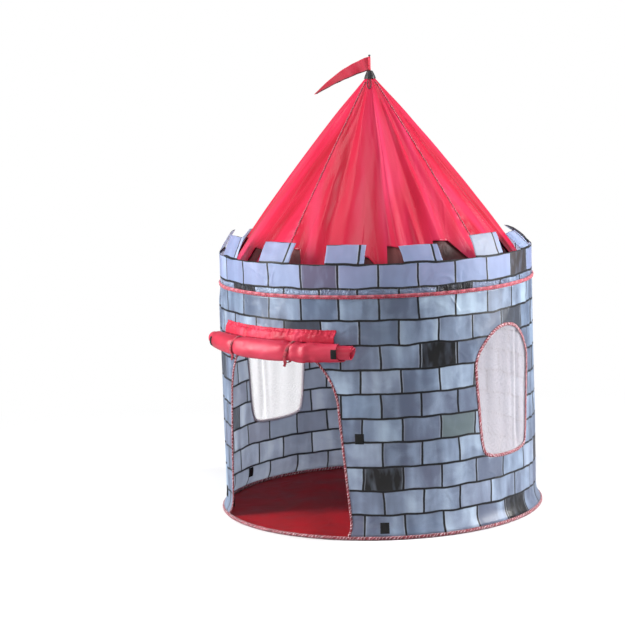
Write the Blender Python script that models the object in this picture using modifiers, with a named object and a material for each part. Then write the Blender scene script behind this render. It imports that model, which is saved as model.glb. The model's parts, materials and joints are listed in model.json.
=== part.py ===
"""Play tent shaped like a castle tower.

A cloth wall hangs between two wire hoops, four bent poles carry a cone roof, and battlement flaps
stand round the foot of the roof. The doorway faces -Y, the floor lies at z = 0, and a turn is an
angle from the doorway towards +X.
"""

import math

import bmesh
import bpy
from mathutils import Matrix, Vector

# Driving sizes, in metres
WALL_RADIUS = 0.475
HOOP_HEIGHT = 0.702
PEAK_HEIGHT = 1.320
HEM_SPREAD = 0.020
HEM_RADIUS = WALL_RADIUS + HEM_SPREAD
CLOTH = 0.0015
GAP = 0.0003
OVERRUN = 0.020

# Facets of the tower, in whole bricks so that each flap starts on a corner of the wall
FLAPS = 13
FACETS_PER_BRICK = 2
SIDES = FLAPS * 2 * FACETS_PER_BRICK
FLAP_TURN = math.radians(2.5)
FLAP_STEP = math.tau / FLAPS
GRID_TURN = FLAP_TURN - math.pi / 2
FACET_DEPTH = WALL_RADIUS * (1 - math.cos(math.pi / SIDES))

# Hem at the floor: a cloth sleeve with the base hoop inside
HEM_SLEEVE = 0.0055
HEM_BORE = 0.0033
BASE_WIRE = 0.0025
HEM_SINK = 0.0005
HEM_LINE = HEM_RADIUS - HEM_SLEEVE
HEM_RISE = HEM_SLEEVE - HEM_SINK
SLEEVE_MOUTH_TURN = math.radians(16)
SLEEVE_POINTS = 7
SLEEVE_STEP = (math.tau - 2 * SLEEVE_MOUTH_TURN) / (SLEEVE_POINTS - 1)
SLEEVE_BORE_POINTS = 7
WIRE_POINTS = 6

# Floor
FLOOR_CLOTH = 0.0012
FLOOR_RADIUS = HEM_LINE - math.sqrt((HEM_SLEEVE + GAP) ** 2 - (HEM_RISE - FLOOR_CLOTH) ** 2)

# Top hoop in its piped seam
PIPING_SLEEVE = 0.0048
PIPING_BORE = 0.0028
TOP_WIRE = 0.0022
PIPING_PROUD = 0.001
PIPING_LINE = WALL_RADIUS + PIPING_PROUD

# Wall, with a flare down to the hem
WALL_TOP = HOOP_HEIGHT - PIPING_SLEEVE - GAP
WALL_FOOT = HEM_RISE + HEM_SLEEVE + GAP
FLARE_HEIGHT = 0.056
FLARE_SHARES = ((0.0, 1.0), (0.22, 0.5), (1.0, 0.06), (1.0, 0.0))
FLARE_SLOPE = math.radians(30)

# Doorway arch, between the edges of its binding
DOOR_FOOT_HALF = 0.238
DOOR_SPRING_HALF = 0.211
DOOR_RISE = 0.211
DOOR_DROP = 0.123
DOOR_SPRING = HOOP_HEIGHT - DOOR_DROP - DOOR_RISE
ARCH_STEPS = 14
BINDING_WIDTH = 0.009
BINDING_PROUD = 0.0009

# Windows
WINDOW_TURN = math.radians(93)
WINDOW_HALF = 0.124
WINDOW_HEIGHT = 0.372
WINDOW_DROP = 0.122
WINDOW_SILL = HOOP_HEIGHT - WINDOW_DROP - WINDOW_HEIGHT
WINDOW_BINDING = 0.008
WINDOW_SHARES = ((0.70, 0.0), (0.87, 0.09), (0.95, 0.46), (1.0, 0.68), (1.0, 0.76), (0.80, 0.88), (0.33, 1.0))
NET_CLOTH = 0.001

# How far a cutter through one side of the wall stands from the middle, and its half depth
CUTTER_PLACE_SHARE = 0.8
CUTTER_REACH_SHARE = 0.35

# Battlement band and its flaps
BAND_HEIGHT = 0.091
BAND_TOP = HOOP_HEIGHT + BAND_HEIGHT
BAND_FOOT = HOOP_HEIGHT + PIPING_SLEEVE + GAP
FLAP_HEIGHT = 0.067
FLAP_CLOTH = 0.0015
FLAP_CLEARANCE = 0.00015
FLAP_LEANS = (32, 39, 48, 22, 45, 46, 36, 28, 40, 33, 42, 30, 24)
FLAP_HALF = WALL_RADIUS * math.sin(FLAP_STEP / 4)
FLAP_HINGE_DROP = FLAP_CLOTH / 2 + FLAP_CLEARANCE
FLAP_LINE = (WALL_RADIUS - CLOTH / 2) * (1 + math.cos(FLAP_STEP / 4)) / 2

# Roof: four panels with seams over the door, the windows and the back
PANELS = 4
PANEL_COLUMNS = 14
PANEL_ROWS = 8
ROOF_CLOTH = 0.0012
ROOF_BOW = 0.016
SEAM_BOW_SHARE = 0.4
HOLLOW_DEPTH = 0.009
PEAK_RADIUS = 0.009
FOOT_REACH = PIPING_SLEEVE * math.cos(SLEEVE_STEP / 2) + GAP + FACET_DEPTH
FOOT_ANGLE = math.radians(35)
ROOF_FOOT_RADIUS = PIPING_LINE - FOOT_REACH * math.cos(FOOT_ANGLE)
ROOF_FOOT_HEIGHT = HOOP_HEIGHT + FOOT_REACH * math.sin(FOOT_ANGLE)
ROOF_RISE = PEAK_HEIGHT - ROOF_FOOT_HEIGHT

# Poles: uprights, bent ferrules at the hoop, bowed roof rods and the hub
POLES = 4
POLE_START = math.radians(45)
POLE_STEP = math.tau / POLES
POLE_RADIUS = 0.004
ROD_RADIUS = 0.003
FERRULE_RADIUS = 0.0066
FERRULE_WALL = 0.0018
FERRULE_PLAY = 0.0024
POLE_LINE = WALL_RADIUS - CLOTH - FACET_DEPTH - FERRULE_PLAY - FERRULE_RADIUS
BEND_HEIGHT = HOOP_HEIGHT - 0.014
BEND_REACH = 0.012
FERRULE_LEG = 0.045
FERRULE_SIDES = 8
POLE_SIDES = 12
ROD_POINTS = 12
CUP_RADIUS = 0.0072
CUP_HEIGHT = 0.026
CUP_FLOOR = 0.003
CUP_SIDES = 12
HUB_RADIUS = 0.021
HUB_TOP = PEAK_HEIGHT - 0.040
HUB_HEIGHT = 0.026
HUB_SIDES = 16
ROD_END_RADIUS = 0.011
ROD_END_DROP = 0.007

# Peak: cap, loop, flag pole and flag
FLAG_POLE_RADIUS = 0.002
FLAG_POLE_TIP = PEAK_HEIGHT + 0.054
FLAG_POLE_SOCKET = 0.012
TIP_RADIUS = 0.0034
TIP_HEIGHT = 0.005
CAP_TOP = PEAK_HEIGHT + 0.007
CAP_SKIRT = 0.018
CAP_WALL = 0.0025
CAP_SIDES = 20
CAP_FILL = 0.003
SMALL_SIDES = 12
LOOP_CORD = 0.0013
LOOP_TURN = math.radians(36)
LOOP_HALF_WIDTH = 0.0055
LOOP_HALF_LENGTH = 0.013
LOOP_LIFT = 0.0012
LOOP_POINTS = 18
FLAG_TURN = math.radians(-49)
FLAG_HOIST = 0.0405
FLAG_OUT = 0.166
FLAG_DROP = 0.088
FLAG_ARCH = 0.010
FLAG_WAVE = 0.006
FLAG_CLOTH = 0.0012
FLAG_TIP_SHARE = 0.06
FLAG_COLUMNS = 12
FLAG_ROWS = 3
FLAG_SLEEVE = 0.0036
FLAG_FOOT = CAP_TOP + GAP

# Rolled door: a spiral of cloth, bowed a little round the wall, with its header, ties and patches
ROLL_RADIUS = 0.032
ROLL_LENGTH = 0.600
ROLL_BOW = 0.490
ROLL_DROP = 0.157
ROLL_HEIGHT = HOOP_HEIGHT - ROLL_DROP
ROLL_STANDOFF = 0.003
ROLL_CLOTH = 0.0025
ROLL_PITCH = 0.0058
ROLL_TURNS = 2.75
ROLL_POINTS_PER_TURN = 14
ROLL_STEPS = 12
ROLL_TAPER_SHARE = 0.20
ROLL_LINE = WALL_RADIUS + ROLL_STANDOFF + ROLL_RADIUS
ROLL_LEAN = math.radians(38)
TIE_PLACE = 0.105
TIE_WIDTH = 0.008
TIE_CLOTH = 0.0012
TIE_PLAY = 0.0006
TIE_SIDES = 20
KNOT_RADIUS = 0.006
TAIL_LENGTH = 0.028
TAIL_WIDTH = 0.005
ROLL_PATCH_INSET = 0.057
ROLL_PATCH_PLACE = ROLL_LENGTH / 2 - ROLL_PATCH_INSET
ROLL_PATCH_WIDTH = 0.016
ROLL_PATCH_CLOTH = 0.0014
ROLL_PATCH_TURN = math.radians(62)
ROLL_PATCH_STEPS = 4
HEADER_HALF_TURN = math.radians(27)
HEADER_FOOT_TURN = math.radians(27.5)
HEADER_DROP = 0.098
HEADER_HEIGHT = HOOP_HEIGHT - HEADER_DROP
HEADER_CLOTH = 0.0012
HEADER_COLUMNS = 16
HEADER_ROWS = 4
HEADER_BULGE = 0.004
HEADER_SEW = 0.008

# Hook-and-loop squares on the wall: turn from the doorway, height of the lower edge
PATCH_WIDTH = 0.026
PATCH_HEIGHT = 0.030
PATCH_CLOTH = 0.0014
UPPER_PATCH = (math.radians(33.8), 0.277)
RIGHT_PATCH = (math.radians(41.7), 0.018)
LEFT_PATCH = (math.radians(-42.5), 0.038)
INNER_PATCH = (math.radians(-77), 0.036)


def clear_scene():
    for thing in list(bpy.data.objects):
        bpy.data.objects.remove(thing, do_unlink=True)


def new_collection(name):
    made = bpy.data.collections.new(name)
    bpy.context.scene.collection.children.link(made)
    return made


def finish(name, colour, roughness, metallic=0.0):
    """A material with one plain surface."""
    made = bpy.data.materials.new(name)
    made.use_nodes = True
    shader = made.node_tree.nodes["Principled BSDF"]
    shader.inputs["Base Color"].default_value = (*colour, 1.0)
    shader.inputs["Roughness"].default_value = roughness
    shader.inputs["Metallic"].default_value = metallic
    made.diffuse_color = (*colour, 1.0)
    return made


def placed(name, data, material=None):
    """An object in the tent's collection."""
    made = bpy.data.objects.new(name, data)
    PARTS.objects.link(made)
    if material:
        data.materials.append(material)
    return made


def helper(name, data):
    """An object that only cuts or joins another."""
    made = bpy.data.objects.new(name, data)
    CUTTERS.objects.link(made)
    made.hide_render = True
    made.display_type = "WIRE"
    return made


def boolean(target, other, operation):
    step = target.modifiers.new(f"{operation.lower()} {other.name}", "BOOLEAN")
    step.operation = operation
    step.solver = "EXACT"
    step.object = other


def thicken(target, thickness, side=-1.0):
    step = target.modifiers.new("thickness", "SOLIDIFY")
    step.thickness = thickness
    step.offset = side
    step.use_even_offset = True


def turned_mesh(name, profile, closed):
    """The outline that a turned shape starts from, as (radius, height) running down its outer side."""
    mesh = bpy.data.meshes.new(name)
    shape = bmesh.new()
    corners = [shape.verts.new((radius, 0.0, height)) for radius, height in profile]
    for first, second in zip(corners, corners[1:]):
        shape.edges.new((first, second))
    if closed:
        shape.edges.new((corners[-1], corners[0]))
    shape.to_mesh(mesh)
    shape.free()
    return mesh


def turned(name, profile, material=None, sides=SIDES, closed=True, turn=GRID_TURN, make=None):
    """A shape turned round the vertical axis of the tent."""
    mesh = turned_mesh(name, profile, closed)
    made = make(name, mesh) if make else placed(name, mesh, material)
    made.rotation_euler.z = turn
    step = made.modifiers.new("turn", "SCREW")
    step.steps = sides
    step.render_steps = sides
    step.use_merge_vertices = True
    step.merge_threshold = 0.0001
    step.use_smooth_shade = False
    return made


def facing(turn):
    """Takes a shape that faces the doorway round to another turn."""
    return Matrix.Rotation(turn, 4, "Z")


def filled_outline(name, outline, half_depth):
    """A flat outline in its own XY plane, given depth along Z, as a mesh."""
    data = bpy.data.curves.new(name, "CURVE")
    data.dimensions = "2D"
    data.fill_mode = "BOTH"
    data.extrude = half_depth
    spline = data.splines.new("POLY")
    spline.points.add(len(outline) - 1)
    for point, (across, up) in zip(spline.points, outline):
        point.co = (across, up, 0.0, 1.0)
    spline.use_cyclic_u = True
    return solid_of_curve(data)


def solid_of_curve(data, weld=GAP / 10):
    """The closed mesh of a curve, with its caps welded on."""
    drawn = bpy.data.objects.new(data.name, data)
    CUTTERS.objects.link(drawn)
    bpy.context.view_layer.update()
    seen = drawn.evaluated_get(bpy.context.evaluated_depsgraph_get())
    mesh = bpy.data.meshes.new_from_object(seen)
    bpy.data.objects.remove(drawn)
    shape = bmesh.new()
    shape.from_mesh(mesh)
    bmesh.ops.remove_doubles(shape, verts=shape.verts, dist=weld)
    bmesh.ops.recalc_face_normals(shape, faces=shape.faces)
    shape.to_mesh(mesh)
    shape.free()
    mesh.materials.clear()
    return mesh


def wall_cutter(name, outline, turn=0.0):
    """A prism through one side of the wall, whose outline is seen from outside."""
    mesh = filled_outline(name, outline, WALL_RADIUS * CUTTER_REACH_SHARE)
    made = helper(name, mesh)
    stand = Matrix.Translation((0.0, -WALL_RADIUS * CUTTER_PLACE_SHARE, 0.0))
    made.matrix_world = facing(turn) @ stand @ Matrix.Rotation(math.pi / 2, 4, "X")
    return made


def grown(outline, by):
    """A closed outline, listed anticlockwise, moved outward with mitred corners."""
    moved = []
    for index, point in enumerate(outline):
        here = Vector(point)
        ahead = (Vector(outline[(index + 1) % len(outline)]) - here).normalized()
        behind = (here - Vector(outline[index - 1])).normalized()
        normal = Vector((ahead.y, -ahead.x))
        other = Vector((behind.y, -behind.x))
        middle = (normal + other).normalized()
        moved.append(tuple(here + middle * (by / middle.dot(normal))))
    return moved


def softened(outline):
    """A closed outline with each corner cut at a quarter of its sides."""
    cut = []
    for index, point in enumerate(outline):
        here = Vector(point)
        there = Vector(outline[(index + 1) % len(outline)])
        cut.append(tuple(here.lerp(there, 1 / 4)))
        cut.append(tuple(here.lerp(there, 3 / 4)))
    return cut


def round_rod(name, points, radius, sides, capped=True, closed=False):
    """A tube or rod along points, as a mesh."""
    data = bpy.data.curves.new(name, "CURVE")
    data.dimensions = "3D"
    data.bevel_depth = radius
    data.bevel_resolution = sides // 2 - 2
    data.use_fill_caps = capped
    spline = data.splines.new("POLY")
    spline.points.add(len(points) - 1)
    for point, place in zip(spline.points, points):
        point.co = (*place, 1.0)
    spline.use_cyclic_u = closed
    return solid_of_curve(data)


def grid_sheet(name, columns, rows, place):
    """An open sheet whose points are placed by a function of two shares, across and down."""
    mesh = bpy.data.meshes.new(name)
    shape = bmesh.new()
    bmesh.ops.create_grid(shape, x_segments=columns, y_segments=rows, size=1)
    for corner in shape.verts:
        corner.co = place((1 + corner.co.x) / 2, (1 - corner.co.y) / 2)
    shape.normal_update()
    shape.to_mesh(mesh)
    shape.free()
    return mesh


def spun_solid(name, section, centre, turn, steps):
    """A closed section in the YZ plane, carried round a vertical line and closed at both ends."""
    mesh = bpy.data.meshes.new(name)
    shape = bmesh.new()
    corners = [shape.verts.new(point) for point in section]
    face = shape.faces.new(corners)
    start = Matrix.Rotation(-turn / 2, 3, "Z")
    bmesh.ops.rotate(shape, verts=corners, cent=centre, matrix=start)
    whole = [face, *face.edges, *face.verts]
    bmesh.ops.spin(shape, geom=whole, cent=centre, axis=(0, 0, 1), angle=turn, steps=steps)
    bmesh.ops.recalc_face_normals(shape, faces=shape.faces)
    shape.to_mesh(mesh)
    shape.free()
    return mesh


def sleeve_profile(line, height, outer, bore, floor=None):
    """A tube's section with a mouth towards the middle of the tent, running down its outer side."""
    profile = []
    for index in range(SLEEVE_POINTS):
        share = index / (SLEEVE_POINTS - 1)
        angle = math.pi - SLEEVE_MOUTH_TURN - share * (math.tau - 2 * SLEEVE_MOUTH_TURN)
        profile.append((line + outer * math.cos(angle), height + outer * math.sin(angle)))
    for index in range(SLEEVE_BORE_POINTS):
        share = index / (SLEEVE_BORE_POINTS - 1)
        angle = math.pi + SLEEVE_MOUTH_TURN + share * (math.tau - 2 * SLEEVE_MOUTH_TURN)
        profile.append((line + bore * math.cos(angle), height + bore * math.sin(angle)))
    if floor is not None:
        profile = [(radius, max(floor, level)) for radius, level in profile]
    return profile


def wire_profile(line, height, radius):
    profile = []
    for index in range(WIRE_POINTS):
        angle = -index * math.tau / WIRE_POINTS
        profile.append((line + radius * math.cos(angle), height + radius * math.sin(angle)))
    return profile


def wall_profile(outward):
    """The wall's outer line from the top hoop down to the hem, moved outward."""
    lines = [(WALL_RADIUS + outward, WALL_TOP)]
    for reach, rise in FLARE_SHARES:
        radius = WALL_RADIUS + reach * (HEM_LINE - WALL_RADIUS)
        height = WALL_FOOT + rise * (FLARE_HEIGHT - WALL_FOOT)
        lines.append((radius + outward, height))
    return lines


def door_outline():
    """The arch, anticlockwise from its left foot, with the feet run down past the wall."""
    outline = [(-DOOR_FOOT_HALF, -OVERRUN), (DOOR_FOOT_HALF, -OVERRUN)]
    for index in range(ARCH_STEPS + 1):
        angle = math.pi * index / ARCH_STEPS
        across = DOOR_SPRING_HALF * math.cos(angle)
        outline.append((across, DOOR_SPRING + DOOR_RISE * math.sin(angle)))
    return outline


def window_outline():
    """The window, anticlockwise from the right end of its sill."""
    right = [(WINDOW_HALF * across, WINDOW_SILL + WINDOW_HEIGHT * up) for across, up in WINDOW_SHARES]
    left = [(-across, height) for across, height in reversed(right)]
    return softened(right + left)


def make_hoops():
    placed_height = HEM_RISE
    turned("base_hoop", wire_profile(HEM_LINE, placed_height, BASE_WIRE), STEEL)
    turned("top_hoop", wire_profile(PIPING_LINE, HOOP_HEIGHT, TOP_WIRE), STEEL)
    hem = sleeve_profile(HEM_LINE, placed_height, HEM_SLEEVE, HEM_BORE, floor=0.0)
    turned("base_hem", hem, RED_TAPE)
    turned("hoop_piping", sleeve_profile(PIPING_LINE, HOOP_HEIGHT, PIPING_SLEEVE, PIPING_BORE), RED_TAPE)


def make_floor():
    mesh = bpy.data.meshes.new("floor_sheet")
    shape = bmesh.new()
    bmesh.ops.create_cone(
        shape, cap_ends=True, segments=SIDES, radius1=FLOOR_RADIUS, radius2=FLOOR_RADIUS, depth=FLOOR_CLOTH
    )
    shape.to_mesh(mesh)
    shape.free()
    sheet = placed("floor_sheet", mesh, FLOOR_RED)
    sheet.location.z = FLOOR_CLOTH / 2
    sheet.rotation_euler.z = GRID_TURN - math.pi / 2


def make_wall():
    wall = turned("wall_panel", wall_profile(0.0), STONE, closed=False)
    thicken(wall, CLOTH)
    outline = door_outline()
    hole = wall_cutter("door_hole", grown(outline, BINDING_WIDTH + GAP))
    boolean(wall, hole, "DIFFERENCE")
    make_binding("doorway_binding", outline, BINDING_WIDTH, 0.0)
    for side, turn in (("right", WINDOW_TURN), ("left", -WINDOW_TURN)):
        outline = window_outline()
        hole = wall_cutter(f"window_{side}_hole", grown(outline, WINDOW_BINDING + GAP), turn)
        boolean(wall, hole, "DIFFERENCE")
        make_binding(f"window_{side}_binding", outline, WINDOW_BINDING, turn)
        make_net(f"window_{side}_net", outline, turn)


def make_binding(name, outline, width, turn):
    """Tape round an opening, a little thicker than the wall on both sides."""
    tape = turned(name, wall_profile(BINDING_PROUD), RED_TAPE, closed=False)
    thicken(tape, CLOTH + 2 * BINDING_PROUD)
    boolean(tape, wall_cutter(f"{name}_outside", grown(outline, width), turn), "INTERSECT")
    boolean(tape, wall_cutter(f"{name}_inside", outline, turn), "DIFFERENCE")


def make_net(name, outline, turn):
    """Netting held edge to edge in the binding."""
    net = turned(name, wall_profile((NET_CLOTH - CLOTH) / 2), NET, closed=False)
    thicken(net, NET_CLOTH)
    boolean(net, wall_cutter(f"{name}_edge", grown(outline, -GAP), turn), "INTERSECT")


def make_wall_patch(name, place, inside=False):
    """A square of hook-and-loop tape on the wall's outer or inner face."""
    turn, foot = place
    clear = CLOTH + GAP if inside else PATCH_CLOTH + GAP
    outward = (-clear if inside else clear) / math.cos(FLARE_SLOPE)
    patch = turned(name, wall_profile(outward), BLACK_TAPE, closed=False)
    thicken(patch, PATCH_CLOTH)
    half = PATCH_WIDTH / 2
    outline = [(-half, foot), (half, foot), (half, foot + PATCH_HEIGHT), (-half, foot + PATCH_HEIGHT)]
    boolean(patch, wall_cutter(f"{name}_edge", outline, turn), "INTERSECT")


def make_band():
    band = turned("battlement_band", [(WALL_RADIUS, BAND_TOP), (WALL_RADIUS, BAND_FOOT)], STONE, closed=False)
    thicken(band, CLOTH)


def make_flaps():
    """One flap a brick wide after each brick's gap, hinged on the band's upper edge."""
    hinge = BAND_TOP + FLAP_HINGE_DROP
    for index in range(FLAPS):
        mesh = bpy.data.meshes.new(f"merlon_{index + 1:02d}")
        shape = bmesh.new()
        bmesh.ops.create_cube(shape, size=1.0)
        size = (2 * FLAP_HALF, FLAP_CLOTH, FLAP_HEIGHT)
        bmesh.ops.scale(shape, vec=size, verts=shape.verts)
        bmesh.ops.translate(shape, vec=(0.0, 0.0, FLAP_HEIGHT / 2 + GAP), verts=shape.verts)
        shape.to_mesh(mesh)
        shape.free()
        flap = placed(mesh.name, mesh, STONE)
        stand = Matrix.Translation((0.0, -FLAP_LINE, hinge))
        lean = Matrix.Rotation(-math.radians(FLAP_LEANS[index]), 4, "X")
        flap.matrix_world = facing(FLAP_TURN + index * FLAP_STEP) @ stand @ lean


def roof_place(turn, share, inward=0.0):
    """A point of the roof's outer face, from the peak at share 0 to the hoop at share 1."""
    arch = 4 * share * (1 - share)
    at_pole = (1 - math.cos(PANELS * turn)) / 2
    hollow = math.sin(PANELS * turn) ** 2
    bow = ROOF_BOW * (SEAM_BOW_SHARE + (1 - SEAM_BOW_SHARE) * at_pole)
    radius = share * ROOF_FOOT_RADIUS + arch * (bow - HOLLOW_DEPTH * hollow) - inward
    height = PEAK_HEIGHT - share * ROOF_RISE
    return Vector((radius * math.sin(turn), -radius * math.cos(turn), height))


def make_roof():
    first_share = PEAK_RADIUS / ROOF_FOOT_RADIUS
    for index in range(PANELS):
        start = index * math.tau / PANELS

        def place(across, down):
            share = first_share + down * (1 - first_share)
            seam = GAP / (share * ROOF_FOOT_RADIUS)
            turn = start + seam + across * (math.tau / PANELS - 2 * seam)
            return roof_place(turn, share)

        mesh = grid_sheet(f"roof_gore_{index + 1}", PANEL_COLUMNS, PANEL_ROWS, place)
        gore = placed(mesh.name, mesh, ROOF_RED)
        thicken(gore, ROOF_CLOTH)


def rod_place(turn, share):
    """A point of a roof rod's middle line, from the bend at share 0 to the hub at share 1."""
    foot = Vector((POLE_LINE, BEND_HEIGHT))
    head = Vector((ROD_END_RADIUS, HUB_TOP - ROD_END_DROP))
    along = head - foot
    outward = Vector((along.y, -along.x)).normalized()
    here = foot + along * share + outward * (ROOF_BOW * 4 * share * (1 - share))
    return Vector((here.x * math.sin(turn), -here.x * math.cos(turn), here.y))


def rod_share(length):
    """The share of a roof rod that a length from the bend takes."""
    whole = (rod_place(0.0, 1.0) - rod_place(0.0, 0.0)).length
    return length / whole


def ferrule_line(turn):
    """The middle line of a bent ferrule: up the wall, round the bend and along the roof rod."""
    side = Vector((math.sin(turn), -math.cos(turn), 0.0)) * POLE_LINE
    foot = side + Vector((0.0, 0.0, BEND_HEIGHT - FERRULE_LEG))
    before = side + Vector((0.0, 0.0, BEND_HEIGHT - BEND_REACH))
    corner = rod_place(turn, 0.0)
    after = rod_place(turn, rod_share(BEND_REACH))
    bend = [before.lerp(corner, step).lerp(corner.lerp(after, step), step) for step in (0.0, 0.33, 0.67, 1.0)]
    return [foot, *bend, rod_place(turn, rod_share(FERRULE_LEG))]


def make_poles():
    cup_foot = FLOOR_CLOTH + GAP
    pole_foot = cup_foot + CUP_FLOOR + GAP
    pole_head = BEND_HEIGHT - BEND_REACH - FERRULE_WALL
    cup_bore = POLE_RADIUS + GAP
    cup = [
        (CUP_RADIUS, cup_foot + CUP_HEIGHT),
        (CUP_RADIUS, cup_foot),
        (0.0, cup_foot),
        (0.0, cup_foot + CUP_FLOOR),
        (cup_bore, cup_foot + CUP_FLOOR),
        (cup_bore, cup_foot + CUP_HEIGHT),
    ]
    for index in range(POLES):
        turn = POLE_START + index * POLE_STEP
        side = Vector((math.sin(turn), -math.cos(turn), 0.0)) * POLE_LINE
        length = pole_head - pole_foot
        mesh = bpy.data.meshes.new(f"wall_pole_{index + 1}")
        shape = bmesh.new()
        bmesh.ops.create_cone(
            shape, cap_ends=True, segments=POLE_SIDES, radius1=POLE_RADIUS, radius2=POLE_RADIUS, depth=length
        )
        shape.to_mesh(mesh)
        shape.free()
        pole = placed(mesh.name, mesh, GLASS_FIBRE)
        pole.location = side + Vector((0.0, 0.0, pole_foot + length / 2))
        foot = turned(f"pole_cup_{index + 1}", cup, BLACK_PLASTIC, sides=CUP_SIDES, turn=turn)
        foot.location = side
        make_ferrule(index, turn)
        first = rod_share(BEND_REACH)
        line = [rod_place(turn, first + (1 - first) * step / (ROD_POINTS - 1)) for step in range(ROD_POINTS)]
        rod = round_rod(f"roof_pole_{index + 1}", line, ROD_RADIUS, FERRULE_SIDES)
        placed(rod.name, rod, GLASS_FIBRE)


def make_ferrule(index, turn):
    """A bent tube whose bore takes the upright below and the roof rod above."""
    outer = round_rod(f"pole_elbow_{index + 1}", ferrule_line(turn), FERRULE_RADIUS, FERRULE_SIDES, capped=False)
    ferrule = placed(outer.name, outer, BLACK_PLASTIC)
    thicken(ferrule, FERRULE_WALL)


def make_hub():
    """A round block with a socket for each roof rod and one for the flag pole."""
    bottom = HUB_TOP - HUB_HEIGHT
    profile = [(0.0, HUB_TOP), (HUB_RADIUS, HUB_TOP), (HUB_RADIUS, bottom), (0.0, bottom)]
    hub = turned("apex_hub", profile, BLACK_PLASTIC, sides=HUB_SIDES, closed=False, turn=0.0)
    for index in range(POLES):
        turn = POLE_START + index * POLE_STEP
        head = rod_place(turn, 1.0)
        along = (head - rod_place(turn, 1 - rod_share(BEND_REACH))).normalized()
        socket = [head - along * (HUB_HEIGHT + HUB_RADIUS), head + along * GAP]
        name = f"hub_socket_{index + 1}"
        boolean(hub, helper(name, round_rod(name, socket, ROD_RADIUS + 2 * GAP, POLE_SIDES)), "DIFFERENCE")
    foot = HUB_TOP - FLAG_POLE_SOCKET - GAP
    bore = [(0.0, HUB_TOP + OVERRUN), (FLAG_POLE_RADIUS + GAP, HUB_TOP + OVERRUN)]
    bore += [(FLAG_POLE_RADIUS + GAP, foot), (0.0, foot)]
    socket = turned("hub_flag_socket", bore, sides=SMALL_SIDES, closed=False, turn=0.0, make=helper)
    boolean(hub, socket, "DIFFERENCE")


def make_cap():
    """A cap that covers the tops of the roof panels, with a bore for the flag pole."""
    skirt = PEAK_HEIGHT - CAP_SKIRT

    def under(height):
        share = (PEAK_HEIGHT - height) / ROOF_RISE
        reach = roof_place(POLE_START, share)
        return math.hypot(reach.x, reach.y) + GAP

    bore = FLAG_POLE_RADIUS + GAP
    rim = under(skirt)
    roof_top = PEAK_HEIGHT - ROOF_RISE * PEAK_RADIUS / ROOF_FOOT_RADIUS + CAP_FILL
    profile = [
        (bore, CAP_TOP),
        ((bore + rim) / 2, CAP_TOP - (CAP_TOP - PEAK_HEIGHT) / 3),
        (rim * 0.8 + CAP_WALL, (PEAK_HEIGHT + skirt) / 2),
        (rim + CAP_WALL, skirt),
        (rim, skirt),
        (under(roof_top), roof_top),
        (bore, roof_top),
    ]
    turned("apex_cap", profile, BLACK_PLASTIC, sides=CAP_SIDES, turn=0.0)


def make_loop():
    """A sewn loop that hangs from under the cap and lies on the roof."""
    middle = (CAP_SKIRT + LOOP_CORD + LOOP_HALF_LENGTH) / ROOF_RISE
    reach = LOOP_HALF_LENGTH / ROOF_RISE
    radial = Vector((math.sin(LOOP_TURN), -math.cos(LOOP_TURN), 0.0))
    tangent = Vector((math.cos(LOOP_TURN), math.sin(LOOP_TURN), 0.0))
    points = []
    for index in range(LOOP_POINTS):
        angle = index * math.tau / LOOP_POINTS
        share = middle - reach * math.cos(angle)
        place = roof_place(LOOP_TURN, share) + tangent * (LOOP_HALF_WIDTH * math.sin(angle))
        points.append(place + radial * (LOOP_CORD + LOOP_LIFT))
    mesh = round_rod("apex_loop", points, LOOP_CORD, FERRULE_SIDES, closed=True)
    placed("apex_loop", mesh, BLACK_TAPE)


def make_flag():
    """The pole with its round tip, and the pennant on a sleeve that turns on it."""
    foot = HUB_TOP - FLAG_POLE_SOCKET
    neck = FLAG_POLE_TIP - TIP_HEIGHT
    profile = [
        (0.0, FLAG_POLE_TIP),
        (TIP_RADIUS * 0.75, FLAG_POLE_TIP - TIP_HEIGHT * 0.15),
        (TIP_RADIUS, FLAG_POLE_TIP - TIP_HEIGHT / 2),
        (TIP_RADIUS, neck),
        (FLAG_POLE_RADIUS, neck),
        (FLAG_POLE_RADIUS, foot),
        (0.0, foot),
    ]
    turned("flag_pole", profile, BLACK_PLASTIC, sides=SMALL_SIDES, closed=False, turn=0.0)
    bore = FLAG_POLE_RADIUS + GAP
    sleeve = [(FLAG_SLEEVE, FLAG_HOIST), (FLAG_SLEEVE, 0.0), (bore, 0.0), (bore, FLAG_HOIST)]
    flag = turned("flag", sleeve, FLAG_RED, sides=SMALL_SIDES, turn=FLAG_TURN)
    flag.location.z = FLAG_FOOT
    start = (FLAG_SLEEVE + bore) / 2

    def place(across, down):
        taper = 1 - across * across * (1 - FLAG_TIP_SHARE)
        arch = FLAG_ARCH * 4 * across * (1 - across)
        sway = FLAG_WAVE * math.sin(across * math.tau * 0.8) * across
        height = FLAG_HOIST / 2 - across * FLAG_DROP + arch
        height += (0.5 - down) * (FLAG_HOIST - 2 * GAP) * taper
        return Vector((sway, -start - across * FLAG_OUT, height))

    sheet = grid_sheet("flag_sheet", FLAG_COLUMNS, FLAG_ROWS, place)
    cloth = helper("flag_sheet", sheet)
    thicken(cloth, FLAG_CLOTH, side=0.0)
    cloth.matrix_world = Matrix.Translation((0.0, 0.0, FLAG_FOOT)) @ facing(FLAG_TURN)
    boolean(flag, cloth, "UNION")


def roll_scale(bow_turn):
    """How full the roll is at a turn along its bow: widest in the middle."""
    share = bow_turn / (ROLL_LENGTH / 2 / ROLL_BOW)
    return 1 - ROLL_TAPER_SHARE * share * share


def roll_frame(bow_turn):
    """The roll's own frame at a turn along its bow: X along the roll, -Y outward."""
    centre = Matrix.Translation((0.0, ROLL_BOW - ROLL_LINE, ROLL_HEIGHT))
    return centre @ Matrix.Rotation(bow_turn, 4, "Z") @ Matrix.Translation((0.0, -ROLL_BOW, 0.0))


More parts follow.
